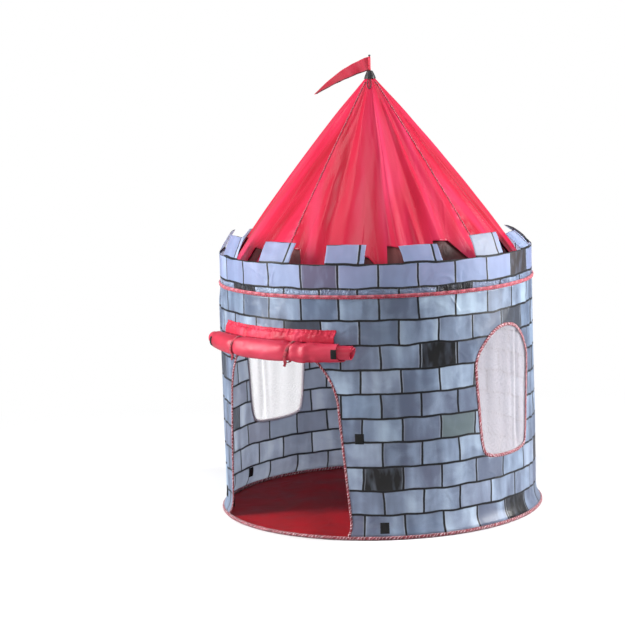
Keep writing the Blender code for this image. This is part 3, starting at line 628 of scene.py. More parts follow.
        # Every brick is cut from another part of the cloud.
        shifted = add("VectorMath", "MULTIPLY_ADD", chance.outputs["Color"], (7.0, 7.0, 7.0), metres)
        cloud = add("TexNoise", None, Vector=shifted, Scale=13.0, Detail=3.0, Roughness=0.55,
                    Distortion=0.6)
        drawn_out = add("VectorMath", "MULTIPLY", shifted, (1.0, 0.16, 1.0))
        smear = add("TexNoise", None, drawn_out, 22.0, 2.0, 0.5)
        grain = add("TexNoise", "2D", metres, 420.0, 2.0, 0.7)
        tone = add("Math", "MULTIPLY_ADD", lots.outputs[0], 0.26, -0.12)
        tone = add("Math", "MULTIPLY_ADD", cloud, 0.42, tone)
        tone = add("Math", "MULTIPLY_ADD", smear, 0.66, tone)
        tone = add("Math", "MULTIPLY_ADD", grain, 0.12, tone)
        ramp = add("ValToRGB", None, tone)
        stops = ramp.color_ramp.elements
        stops[0].position, stops[0].color = 0.30, linear(self.dark)
        stops[1].position, stops[1].color = 0.88, linear(self.highlight)
        stops.new(0.52).color = linear(self.middle)
        stops.new(0.68).color = linear(self.light)
        violet = add("MapRange", None, lots.outputs[2], 0.72, 1.0, 0.0, 0.22)
        blue = add("MapRange", None, lots.outputs[2], 0.35, 0.0, 0.0, 0.24)
        tinted = add("Mix", "RGBA", violet, ramp, self.violet)
        return add("Mix", "RGBA", blue, tinted, self.blue)

    def _odd_colours(self, add: Add, cell: Node, course: Node,
                     colour: Node, metres: Node) -> Node:
        """Lays the odd bricks' shades over the stone, broken by lighter streaks of painted reflection.

        Args:
            add: Adds a node.
            cell: The brick's place round.
            course: The brick's course.
            colour: The stone under them.
            metres: The print's coordinates in metres.

        Returns:
            The node whose colour has the odd bricks in it.
        """
        number = add("Math", "MULTIPLY_ADD", course, float(self.course_numbers), cell)
        # The stone shows through the odd bricks in lighter streaks: painted reflections of their gloss.
        streaks = add("TexNoise", "2D", Vector=add("VectorMath", "MULTIPLY", metres, (1.0, 0.35, 1.0)),
                      Scale=45.0, Detail=2.0)
        uneven = add("MapRange", None, streaks, 0.48, 0.85, 1.0, 0.72)
        for shade, bricks in self.odd_bricks:
            found = None
            for level, place in bricks:
                hit = add("Math", "COMPARE", number, float(level * self.course_numbers + place), 0.1)
                found = hit if found is None else add("Math", "MAXIMUM", found, hit)
            amount = add("Math", "MULTIPLY", found, uneven)
            colour = add("Mix", "RGBA", amount, colour, shade.value)
        return colour


def cloth_relief(add: Add, metres: Node,
                 strength: float) -> Node:
    """The relief of light woven cloth: soft dents, sharp crinkles and the weave.

    Args:
        add: Adds a node.
        metres: The cloth's coordinates in metres.
        strength: How strongly the crinkles show.

    Returns:
        The bump node.
    """
    dents = add("TexNoise", None, Vector=metres, Scale=9.0, Detail=2.0, Roughness=0.45, Distortion=0.8)
    bent = add("TexNoise", None, metres, 16.0, 1.0)
    pulled = add("VectorMath", "MULTIPLY_ADD", bent.outputs["Color"], (0.06, 0.06, 0.0), metres)
    folds = add("TexVoronoi", "DISTANCE_TO_EDGE", pulled, 15.0)
    creases = add("MapRange", "SMOOTHSTEP", folds, 0.0, 0.16, 1.0, 0.0)
    where = add("TexNoise", None, metres, 6.0, 1.0)
    some = add("MapRange", None, where, 0.45, 0.68, 0.0, 0.35)
    kept = add("Math", "MULTIPLY", creases, some)
    # Threads of 0.25 mm are too fine to show, so the weave is drawn at 1.4 mm.
    weave = add("TexChecker", None, Vector=metres, Scale=1 / 0.0014)
    height = add("Math", "MULTIPLY_ADD", dents, 1.6, kept)
    height = add("Math", "MULTIPLY_ADD", weave.outputs["Fac"], 0.005, height)
    return add("Bump", None, Strength=strength, Distance=0.006, Height=height)


@dataclass(frozen=True)
class DyedPolyester:
    """Polyester taffeta dyed in the piece and calendered.

    The dye is even, and the clouds in its colour are painted shine and shade: hollows go deep and saturated,
    and the raised parts go pale where the flat threads face the light.
    """

    name: str
    deep: str
    plain: str
    bright: str
    roughness: float = 0.40
    crinkle: float = 0.6
    sheen: float = 0.10
    specular: float = 0.5
    run: Flat = (1.0, 1.0)  # below one in the direction in which the cloth is pulled straight

    def build(self) -> Material:
        """The dyed cloth, laid out by the print map in metres."""
        made, add, shader = bare_material(self.name)
        flat = add("UVMap", PRINT_MAP)
        uv = add("VectorMath", "MULTIPLY", flat, (*self.run, 1.0))
        # The cloud is painted shine and shade, from deep through plain to bright.
        cloud = add("TexNoise", None, Vector=uv, Scale=9.0, Detail=3.0, Roughness=0.5, Distortion=0.3)
        grain = add("TexNoise", None, flat, 480.0, 1.0)
        tone = add("Math", "MULTIPLY_ADD", grain, 0.16, cloud)
        ramp = add("ValToRGB", None, tone)
        stops = ramp.color_ramp.elements
        stops[0].position, stops[0].color = 0.38, linear(self.deep)
        stops[1].position, stops[1].color = 0.80, linear(self.bright)
        stops.new(0.56).color = linear(self.plain)
        worn = add("MapRange", None, cloud, 0.3, 0.7, self.roughness - 0.06, self.roughness + 0.07)
        set_inputs(shader, {
            "Base Color": ramp, "Roughness": worn, "Normal": cloth_relief(add, uv, self.crinkle),
            "IOR": POLYESTER_IOR, "Specular IOR Level": self.specular, "Sheen Weight": self.sheen,
            "Sheen Roughness": 0.3, "Sheen Tint": self.bright})
        return made


@dataclass(frozen=True)
class WovenTape:
    """Narrow polyester tape woven with ribs and folded over an edge, held by a zigzag of pale thread.

    The ribs and the stitches break its colour into short flecks, lighter on the thread.
    """

    name: str
    base: str
    shadow: str
    thread: str
    stitch_length: float = 0.0055  # a zigzag stitch of 3 mm, drawn longer so that it shows
    thread_share: float = 0.45
    ragged: float = 1.4  # how far the stitches wander, in stitches

    def build(self) -> Material:
        """The tape, laid out by the print map in metres along and across."""
        made, add, shader = bare_material(self.name)
        uv = add("UVMap", PRINT_MAP)
        spot = add("SeparateXYZ", None, uv)
        uneven = add("TexNoise", "2D", uv, 60.0, 3.0, 0.7)
        lean = add("Math", "MULTIPLY_ADD", spot.outputs[1], 0.8, spot.outputs[0])
        pace = add("Math", "DIVIDE", lean, self.stitch_length)
        jitter = add("Math", "MULTIPLY_ADD", uneven, self.ragged, pace)
        wave = add("Math", "PINGPONG", jitter, 0.5)
        thread = add("MapRange", "SMOOTHSTEP", wave, 0.30, 0.44, 0.0, self.thread_share)
        shade = add("MapRange", None, uneven, 0.35, 0.62, 1.0, 0.0)
        body = add("Mix", "RGBA", shade, self.base, self.shadow)
        colour = add("Mix", "RGBA", thread, body, self.thread)
        dull = add("MapRange", None, thread, 0.0, 1.0, 0.72, 0.5)
        ribs = add("Math", "ADD", wave, uneven)
        relief = add("Bump", None, Strength=0.6, Distance=0.0012, Height=ribs)
        set_inputs(shader, {"Base Color": colour, "Roughness": dull, "Normal": relief, "Sheen Weight": 0.2})
        return made


@dataclass(frozen=True)
class HookAndLoop:
    """Nylon hook-and-loop tape, dyed black: a nap of tiny loops that swallows light and frays grey."""

    name: str = "black_nylon_hook_and_loop"
    loops: str = "0A0A0A"
    fray: str = "1E1E22"

    def build(self) -> Material:
        """The nap, with loops of 0.6 mm drawn at 1.5 mm so that they show."""
        made, add, shader = bare_material(self.name)
        uv = add("TexCoord")
        nap = add("TexVoronoi", "F1", uv.outputs["Object"], 1 / 0.0015)
        fuzz = add("TexNoise", None, uv.outputs["Object"], 180.0, 3.0)
        mixed = add("Math", "MULTIPLY", nap, fuzz)
        amount = add("MapRange", None, mixed, 0.15, 0.5, 0.0, 0.8)
        colour = add("Mix", "RGBA", amount, self.loops, self.fray)
        relief = add("Bump", None, Strength=0.8, Distance=0.0008, Height=nap)
        set_inputs(shader, {"Base Color": colour, "Normal": relief, "Roughness": 0.95})
        return made


@dataclass(frozen=True)
class Netting:
    """Warp-knitted white polyester net, heat set.

    Fine threads over holes: from outside it is a milky veil with denser and thinner places, and what
    stands behind it shows faintly.
    """

    name: str = "warp_knitted_white_net"
    thread: str = "F2EEF2"
    shade: str = "CAC4D0"
    cover: float = 0.50
    hole: float = 0.0034  # the net's own holes are 1.2 mm, drawn coarser so that they show

    def build(self) -> Material:
        """The net, with its holes as alpha and the light that comes through its threads."""
        made, add, shader = bare_material(self.name)
        uv = add("UVMap", PRINT_MAP)
        speckle = add("TexNoise", "2D", uv, 160.0, 2.0, 0.7)
        mesh = add("TexVoronoi", {"feature": "DISTANCE_TO_EDGE", "voronoi_dimensions": "2D"}, Vector=uv,
                   Scale=1 / self.hole, Randomness=0.35)
        strand = add("MapRange", "SMOOTHSTEP", mesh, 0.06, 0.34, 1.0, self.cover - 0.22)
        dense = add("MapRange", None, speckle, 0.3, 0.7, -0.12, 0.10)
        alpha = add("Math", {"operation": "ADD", "use_clamp": True}, strand, dense)
        tint = add("Mix", "RGBA", speckle, self.thread, self.shade)
        set_inputs(shader, {"Base Color": tint, "Roughness": 0.7})
        glow = add("BsdfTranslucent", None, "F4F5F9")
        cloth = add("MixShader", None, 0.50, shader, glow)
        clear = add("BsdfTransparent")
        whole = add("MixShader", None, alpha, clear, cloth)
        show(whole)
        return made


@dataclass(frozen=True)
class MouldedPlastic:
    """Polypropylene or glass-filled nylon, injection moulded against a spark-eroded mould.

    A fine even stipple that spreads the highlights, with faint flow marks.
    """

    name: str
    base: str
    worn: str
    roughness: float = 0.42

    def build(self) -> Material:
        """The stippled plastic."""
        made, add, shader = bare_material(self.name)
        spot = add("TexCoord")
        stipple = add("TexNoise", None, spot.outputs["Object"], 900.0, 2.0)
        flow = add("TexNoise", None, Vector=spot.outputs["Object"], Scale=60.0, Detail=2.0, Distortion=1.0)
        colour = add("Mix", "RGBA", flow, self.base, self.worn)
        shine = add("MapRange", None, flow, 0.3, 0.7, self.roughness - 0.05, self.roughness + 0.08)
        relief = add("Bump", None, Strength=0.25, Distance=0.0003, Height=stipple)
        set_inputs(shader, {"Base Color": colour, "Roughness": shine, "Normal": relief})
        return made


@dataclass(frozen=True)
class PultrudedGlassFibre:
    """Glass-fibre rod, drawn through a die with its fibres lengthwise: grey, with long fine streaks."""

    name: str = "pultruded_glass_fibre"
    base: str = "6E7074"
    streak: str = "9A9C9F"

    def build(self) -> Material:
        """The streaked rod; fibres of 20 microns are drawn as 1 mm streaks."""
        made, add, shader = bare_material(self.name)
        spot = add("TexCoord")
        long_way = add("VectorMath", "MULTIPLY", spot.outputs["Object"], (1.0, 1.0, 0.04))
        fibres = add("TexNoise", None, long_way, 900.0, 2.0)
        colour = add("Mix", "RGBA", fibres, self.base, self.streak)
        relief = add("Bump", None, Strength=0.15, Distance=0.0003, Height=fibres)
        set_inputs(shader, {"Base Color": colour, "Roughness": 0.38, "Normal": relief, "Coat Weight": 0.3,
                            "Coat Roughness": 0.2})
        return made


@dataclass(frozen=True)
class DrawnSpringSteel:
    """Spring-steel wire, cold drawn and oil tempered: blue-grey metal with fine lengthwise die lines."""

    name: str = "drawn_spring_steel"
    base: str = "9A9CA0"
    oxide: str = "5E6470"

    def build(self) -> Material:
        """The drawn wire."""
        made, add, shader = bare_material(self.name)
        spot = add("TexCoord")
        patches = add("TexNoise", None, spot.outputs["Object"], 40.0, 4.0)
        colour = add("Mix", "RGBA", patches, self.base, self.oxide)
        shine = add("MapRange", None, patches, 0.3, 0.7, 0.28, 0.45)
        set_inputs(shader, {"Base Color": colour, "Metallic": 1.0, "Roughness": shine})
        return made


def built(finish: Finish) -> Any:
    """A field that holds a finish's material, made along with the others."""
    return field(default_factory=finish.build)


@dataclass(frozen=True)
class Finishes:
    """Every finish of the tent, built once."""

    stone: Material = built(StonePrintPolyester())
    stone_behind: Material = built(StonePrintPolyester(
        "polyester_taffeta_print_from_behind", dark="727E9A", middle="8F9CBA", light="AFBCD8",
        highlight="D6E2F0",
        violet="9B94A8", blue="97AABF", band="B4BEDC", glow=0.22, through=0.62))
    roof: Material = built(DyedPolyester(
        "crimson_calendered_taffeta", "A80A26", "C01238", "D82C5C", roughness=0.30, crinkle=0.22, sheen=0.03,
        specular=0.36, run=(1.0, 0.2)))
    door: Material = built(DyedPolyester(
        "coral_red_polyester_taffeta", "A01630", "B8243E", "CC3A54", roughness=0.44, crinkle=0.5,
        specular=0.4, run=(0.5, 1.0)))
    pennant: Material = built(DyedPolyester(
        "scarlet_polyester_taffeta", "B01430", "CA203E", "DA3C58", roughness=0.42, crinkle=0.3))
    floor: Material = built(DyedPolyester(
        "maroon_coated_oxford", "860A13", "981019", "AA1622", roughness=0.55, crinkle=0.3, sheen=0.0,
        specular=0.12))
    # The door's own cloth again, coloured on its own for the shade that the header hangs in: painted shade.
    header: Material = built(DyedPolyester(
        "door_taffeta_in_painted_shade", "9C142C", "C0223E", "DC4866", roughness=0.5, crinkle=0.8, sheen=0.0,
        specular=0.28,
        run=(1.6, 0.5)))
    # Dark brown-red cloth for the sheet of painted shade inside the foot of the roof.
    painted_shade_sheet: Material = built(DyedPolyester(
        "brown_red_painted_shade_sheet_taffeta", "3A1210", "521B1B", "6E2A2A", roughness=0.6, sheen=0.0))
    tape: Material = built(WovenTape(
        "red_binding_tape", "8A2032", "5A1420", "E6C4CA", stitch_length=0.0105, thread_share=0.72,
        ragged=2.2))
    piping: Material = built(WovenTape(
        "rose_piping_tape", "BC4A5C", "862A3A", "E4A0AC", stitch_length=0.034, thread_share=0.35))
    tie: Material = built(WovenTape(
        "crimson_tie_tape", "B01A34", "5E0A16", "D8405A", stitch_length=0.004, thread_share=0.25))
    black_tape: Material = built(WovenTape(
        "black_woven_tape", "1C1A1C", "0C0B0C", "3C3A3E"))
    seam: Material = built(WovenTape(
        "crimson_felled_seam", "A51C36", "6A0F20", "E88396", stitch_length=0.008, thread_share=0.5))
    stone_hem: Material = built(WovenTape(
        "grey_felled_seam", "737D96", "4A5166", "AEB9D0", stitch_length=0.006))
    dark_thread: Material = built(WovenTape(
        "dark_red_rolled_hem", "7A1626", "2A070D", "B63A4E", stitch_length=0.007))
    hook_tape: Material = built(HookAndLoop())
    net: Material = built(Netting())
    net_facing: Material = built(Netting("white_net_facing_tape", cover=1.5))
    black_plastic: Material = built(MouldedPlastic(
        "moulded_black_polypropylene", "101012", "1E1E22"))
    glass_fibre: Material = built(PultrudedGlassFibre())
    steel: Material = built(DrawnSpringSteel())


# The tower's own shape


@dataclass(frozen=True)
class Tower:
    """The sizes that the whole tent shares, and the surface that its wall follows."""

    wall_radius: float = 0.475
    hoop_height: float = 0.702
    peak_height: float = 1.320
    hem_line: float = 0.4895
    hem_rise: float = 0.005
    piping_line: float = 0.476
    flare_height: float = 0.056
    flare_foot: float = 0.0135
    cloth: float = 0.0012
    brick_turn: float = radians(360 / 26)
    print_turn: float = radians(0.26)
    course: float = 0.0702
    strip_line: float = 0.7235  # the joint drawn over the strip of half bricks above the piping

    def wall_reach(self, height: float) -> float:
        """The wall's radius at a height, with its flare down to the hem."""
        share = min(1.0, max(0.0, (self.flare_height - height) / (self.flare_height - self.flare_foot)))
        return self.wall_radius + (self.hem_line - self.wall_radius) * (0.25 * share + 0.75 * share**3)

    def slack(self, turn: float, height: float) -> float:
        """How far the wall's cloth stands off its round, in metres outward."""
        hold = smooth(height, 0.0, 0.05) * (1 - smooth(height, 0.64, 0.694))
        loose = 0.0022 * waver(turn * 2.6, height * 2.2) + 0.0011 * waver(turn * 8, height * 5.0, 3.0)
        # Upright soft folds left of the doorway, where the cloth isn't pulled tight.
        near = bump_at(turn, radians(-47), radians(13))
        folds = 0.0030 * near * (0.6 + sin(turn * 46 + height * 1.5))
        # The right flank hangs in a few upright folds past the window.
        near = bump_at(turn, radians(116), radians(8))
        folds += 0.0020 * near * sin(turn * 70 + height * 0.8)
        return hold * (loose + folds)

    def on_wall(self, turn: float, height: float, lift: float = 0.0) -> Vector:
        """A point of the wall's outer face, lifted off it by a distance."""
        return around(turn, self.wall_reach(height) + self.slack(turn, height) + lift, height)

    def bricks(self, turn: float) -> float:
        """A turn as a number of bricks round from the print's first joint."""
        return (turn - self.print_turn) / self.brick_turn

    def courses(self, height: float) -> float:
        """A height as a number of courses; the strip over the piping belongs to the eleventh."""
        if height <= self.hoop_height:
            return height / self.course
        return 11 + (height - self.strip_line) / self.course


@dataclass
class SubAssembly:
    """A group of pieces that is made as one, with what all the groups share."""

    tower: Tower
    finishes: Finishes


@dataclass
class Opening:
    """A hole through the wall, seen from outside, with its tape and the turn that it faces."""

    tower: Tower
    name: str
    outline: list[Flat]
    turn: float
    tape_width: float

    def turn_at(self, across: float, height: float) -> float:
        """The turn of a point of the outline, which is drawn as the eye sees it from in front."""
        reach = self.tower.wall_reach(height)
        return self.turn + math.asin(max(-1.0, min(1.0, across / reach)))

    def across_at(self, turn: float, height: float) -> float:
        """How far across a turn lies, or a far value behind the tower."""
        local = (turn - self.turn + pi) % tau - pi
        return self.tower.wall_reach(height) * sin(local) if abs(local) < pi / 2 else 9.0

    def build_tape(self, name: str, finish: Material, lift: float, thickness: float,
                   foot: float | None = None, width: float | None = None) -> Piece:
        """The tape folded over the edge.

        Args:
            name: The piece's name.
            finish: The tape's finish.
            lift: How far its middle stands off the wall's outer face.
            thickness: The tape's thickness.
            foot: The height where both its ends stand, or None where it runs all round.
            width: Its width, or None for the opening's own.

        Returns:
            The tape.
        """
        outline = grown(self.outline, self.tape_width / 2)
        if foot is not None:  # it starts and ends at the floor, and leaves the threshold free
            outline = [(x, max(z, foot)) for x, z in outline[1:] + outline[:1]]
        line = even_steps(outline, 0.0025, foot is None)
        path = [self.tower.on_wall(self.turn_at(x, z), z, lift) for x, z in line]
        normals = [around(self.turn_at(x, z), 1.0, 0.0) for x, z in line]
        section = tape_section(width or self.tape_width, thickness, 0.0005)
        return swept(name, path, normals, section, finish, foot is None)


@dataclass
class Wall(SubAssembly):
    """The printed wall with its doorway, windows, bindings, nets and hook-and-loop squares."""

    columns: int = 312
    rows: int = 84
    foot: float = 0.0108
    top: float = 0.6975
    foot_half: float = 0.238
    spring_half: float = 0.211
    spring: float = 0.368
    rise: float = 0.211
    window_turn: float = radians(93)
    window_half: float = 0.124
    window_sill: float = 0.208
    window_height: float = 0.372
    window_shares: tuple[Flat, ...] = ((0.70, 0.0), (0.87, 0.09), (0.95, 0.46), (1.0, 0.68), (1.0, 0.76),
                                       (0.80, 0.88), (0.33, 1.0))
    cut_share: float = 0.45  # how far under its tape the wall's own edge lies
    # Each square of hook-and-loop tape: its name, turn in degrees, lower edge, and whether it is inside.
    squares: tuple[tuple[str, float, float, bool], ...] = (
        ("upper", 33.8, 0.277, False), ("right", 41.7, 0.018, False), ("left", -42.5, 0.038, False),
        ("inner", -77.0, 0.036, True))
    square_width: float = 0.026
    square_height: float = 0.030
    openings: list[Opening] = field(default_factory=list)
    flat_area: float = 0.0

    def doorway(self) -> Opening:
        """The arch of the doorway, from its left foot anticlockwise."""
        outline = [(-self.foot_half, -0.020), (self.foot_half, -0.020)]
        for index in range(33):
            angle = pi * index / 32
            outline.append((self.spring_half * cos(angle), self.spring + self.rise * sin(angle)))
        return Opening(self.tower, "doorway", outline, 0.0, 0.0072)

    def window(self, name: str, turn: float) -> Opening:
        """One window: a long rounded hole with a narrower top."""
        right = [(self.window_half * x, self.window_sill + self.window_height * z)
                 for x, z in self.window_shares]
        outline = right + [(-x, z) for x, z in reversed(right)]
        for _ in range(2):  # corners cut twice come out round
            cut = []
            for index, point in enumerate(outline):
                here, there = Vector(point), Vector(outline[(index + 1) % len(outline)])
                cut += [tuple(here.lerp(there, 0.25)), tuple(here.lerp(there, 0.75))]
            outline = cut
        return Opening(self.tower, name, outline, turn, 0.0098)

    def build(self) -> list[Piece]:
        """The wall and everything sewn on it."""
        self.openings = [self.doorway(), self.window("window_right", self.window_turn),
                         self.window("window_left", -self.window_turn)]
        wall = self.build_cloth()
        extras = [tape for opening in self.openings for tape in self.dress_opening(opening)]
        for name, turn, foot, inner in self.squares:
            extras.append(self.build_square(f"wall_patch_{name}", radians(turn), foot, inner))
        extras.append(self.build_back_seam())
        nets = [self.build_net(opening) for opening in self.openings[1:]]
        declare_sheet((tau * self.tower.hem_line, self.top), self.flat_area)
        return [wall, *extras, *nets]

    def build_cloth(self) -> Piece:
        """The wall's cloth, cut out under its bindings and sewn up at the back."""
        tower, count = self.tower, self.columns
        turns, heights = [], []
        for row in range(self.rows + 1):
            for column in range(count):
                turns.append(-pi + tau * column / count)
                heights.append(self.top + (self.foot - self.top) * row / self.rows)
        cuts = [(opening, grown(opening.outline, opening.tape_width * self.cut_share))
                for opening in self.openings]
        cells = []
        for row in range(self.rows):
            for column in range(count):
                after = (column + 1) % count
                below, above = (row + 1) * count, row * count
                corners = [below + column, below + after, above + after, above + column]
                middle = (heights[corners[0]] + heights[corners[2]]) / 2
                turn = turns[corners[0]] + pi / count
                if not any(inside(cut, opening.across_at(turn, middle), middle) for opening, cut in cuts):
                    cells.append(corners)
        self.snap(cells, turns, heights, cuts)
        used = sorted({corner for cell in cells for corner in cell})
        where = {corner: index for index, corner in enumerate(used)}
        marks = []
        for cell in cells:
            low = min(turns[corner] for corner in cell)
            for corner in cell:
                turn = turns[corner]
                if max(turns[c] for c in cell) - low > pi and turns[corner] < 0:
                    turn += tau
                marks.append((tower.bricks(turn), tower.courses(heights[corner])))
        points = [tower.on_wall(turns[corner], heights[corner]) for corner in used]
        faces = [[where[corner] for corner in cell] for cell in cells]
        wall = new_piece("wall_cloth", printed_mesh("wall_cloth", points, faces, marks), self.finishes.stone)
        self.flat_area = cloth_area(wall)
        thicken(wall, tower.cloth, behind=self.finishes.stone_behind)
        return dress(wall, TENT_BODY, "wall_panel")

    def snap(self, cells: list[list[int]], turns: list[float], heights: list[float],
             cuts: list[tuple[Opening, list[Flat]]]) -> None:
        """Moves the corners along each hole onto its outline.

        Args:
            cells: The faces that are left.
            turns: The turn of every corner, changed here.
            heights: The height of every corner, changed here.
            cuts: Each opening with the outline that its wall is cut to.
        """
        sides: dict[tuple[int, int], int] = {}
        for cell in cells:
            for index, corner in enumerate(cell):
                key = tuple(sorted((corner, cell[index - 1])))
                sides[key] = sides.get(key, 0) + 1
        rim = {corner for key, times in sides.items() if times == 1 for corner in key}
        for corner in rim:
            height = heights[corner]
            for opening, cut in cuts:
                across = opening.across_at(turns[corner], height)
                x, z = nearest(cut, across, height)
                if math.dist((x, z), (across, height)) < 0.012:
                    level = max(z, self.foot) if height > self.foot + 1e-6 else height
                    turns[corner] = opening.turn_at(x, level)
                    heights[corner] = level
                    break

    def dress_opening(self, opening: Opening) -> list[Piece]:
        """The binding of an opening, and behind a window the white tape that holds its net."""
        if opening.name == "doorway":
            tapes = [opening.build_tape("doorway_tape", self.finishes.tape, -self.tower.cloth / 2, 0.0034,
                                        self.foot)]
        else:
            tapes = [opening.build_tape(f"{opening.name}_tape", self.finishes.tape, 0.0004, 0.0022),
                     opening.build_tape(f"{opening.name}_facing", self.finishes.net_facing,
                                        -self.tower.cloth - 0.0014, 0.0016, width=0.0048)]
        dress(tapes[0], TENT_BODY, f"{opening.name}_binding")
        for facing in tapes[1:]:
            dress(facing, TENT_BODY)
        return tapes

    def build_net(self, opening: Opening) -> Piece:
        """Netting sewn behind a window, hanging in soft upright folds.

        Args:
            opening: The window.

        Returns:
            The net.
        """
        edge = grown(opening.outline, 0.0065)
        low, high = min(z for _, z in edge), max(z for _, z in edge)
        # The hole's half width at each height, from the right half of its outline.
        right = sorted((z, x) for x, z in even_steps(edge, 0.003, True) if x > 0)

        def half(height: float) -> float:
            """Half the net's width at a height."""
            nearby = min(right, key=lambda pair: abs(pair[0] - height))
            return nearby[1]

        def place(across: float, down: float) -> Vector:
            """A point of the net, pulled flat at its edge."""
            height = high + (low - high) * down
            side = 2 * across - 1
            x = side * half(height)
            free = (1 - side**4) * (1 - (2 * down - 1) ** 6)
            pleat = 0.0016 * sin(x * 95 + 2.0 * waver(x * 9, height * 3, 5.0))
            pleat += 0.0022 * waver(x * 26, height * 4)
            # Two upright folds hang in the right hand third.
            pleat += 0.0085 * bump_at(x + 0.006 * waver(height * 6, 2.0), 0.042, 0.009)
            pleat -= 0.0075 * bump_at(x + 0.006 * waver(height * 5, 9.0), 0.068, 0.008)
            sag = 0.004 * free
            turn = opening.turn_at(x, height)
            return self.tower.on_wall(turn, height, -self.tower.cloth - 0.0012 - sag + free * pleat)

        def printed(across: float, down: float) -> Flat:
            """Metres across and up the net."""
            height = high + (low - high) * down
            return (2 * across - 1) * half(height), height

        net = cloth_grid(f"{opening.name}_netting", 60, 90, place, self.finishes.net, printed)
        declare_sheet((2 * self.window_half + 0.03, high - low + 0.002), cloth_area(net))
        return dress(net, TENT_BODY, f"{opening.name}_net")

    def build_square(self, name: str, turn: float, foot: float, inner: bool) -> Piece:
        """A square of hook-and-loop tape sewn flat on the wall.

        Args:
            name: The node that it stands for.
            turn: The turn of its middle.
            foot: The height of its lower edge.
            inner: Whether it is on the wall's inner face.

        Returns:
            The square, with its nap a little proud in the middle.
        """
        def place(across: float, down: float) -> Vector:
            """A point of the square's face."""
            side, up = 2 * across - 1, 1 - 2 * down
            sewn = 1 - max(abs(side), abs(up)) ** 8
            lift = 0.0004 + 0.0011 * sewn + 0.0001 * waver(side * 9, up * 9)
            x = side * self.square_width / 2 + 0.0003 * waver(up * 6, 2.0)
            height = foot + self.square_height * (1 - down) + 0.0003 * waver(side * 6, 5.0)
            reach = -self.tower.cloth - lift if inner else lift
            return self.tower.on_wall(turn + x / self.tower.wall_radius, height, reach)

        def printed(across: float, down: float) -> Flat:
            """Metres across and up the square."""
            return across * self.square_width, (1 - down) * self.square_height

        square = cloth_grid(f"{name}_tape", 12, 14, place, self.finishes.hook_tape, printed)
        thicken(square, 0.0009, 1.0 if inner else -1.0)
        return dress(square, TENT_BODY, name)

    def build_back_seam(self) -> Piece:
        """The felled seam that closes the wall at the back."""
        heights = [self.foot + (self.top - self.foot) * k / 120 for k in range(121)]
        path = [self.tower.on_wall(pi, height, 0.0006) for height in heights]
        seam = swept("wall_back_seam", path, [around(pi, 1.0, 0.0)] * len(path),
                     tape_section(0.009, 0.0012, 0.0002),
                     self.finishes.stone_hem, False)
        return dress(seam, TENT_BODY)


@dataclass
class Rims(SubAssembly):
    """The two cloth sleeves that hold the wire hoops: the piped seam above and the hem on the floor."""

    piping_radius: float = 0.0038
    hem_radius: float = 0.0053
    step: float = 0.005

    def build(self) -> list[Piece]:
        """The piping, its sewn flange and the hem."""
        pieces = [self.ring("hoop_piping_sleeve", self.tower.piping_line, self.tower.hoop_height,
                            self.piping_radius,
                            self.finishes.piping, "hoop_piping"),
                  self.ring("base_hem_sleeve", self.tower.hem_line, self.tower.hem_rise, self.hem_radius,
                            self.finishes.tape, "base_hem")]
        flange = self.ring("hoop_piping_flange", self.tower.piping_line + 0.0006,
                           self.tower.hoop_height - 0.0053, 0.0021,
                           self.finishes.seam, None)
        return pieces + [flange]

    def ring(self, name: str, radius: float, height: float, reach: float, finish: Material,
             node: str | None) -> Piece:
        """A sleeve all the way round.

        Args:
            name: The piece's name.
            radius: The radius of its middle line.
            height: The height of its middle line.
            reach: The sleeve's own radius.
            finish: Its finish.
            node: The node that it stands for, or None.

        Returns:
            The sleeve.
        """
        count = round(tau * radius / self.step)
        turns = [-tau * k / count for k in range(count)]
        path = []
        for turn in turns:
            # The wire isn't a perfect round: the seam creeps up and down by a millimetre.
            creep = 0.0006 * waver(turn * 5, height * 9)
            path.append(around(turn, radius + 0.0004 * waver(turn * 9, 8.0), max(height + creep, reach)))
        sleeve = swept(name, path, [around(turn, 1.0, 0.0) for turn in turns],
                       tube_section(reach, reach * 0.10), finish,
                       True)
        for corner in sleeve.data.vertices:
            corner.co.z = max(corner.co.z, 0.0)
        return dress(sleeve, TENT_BODY, node)


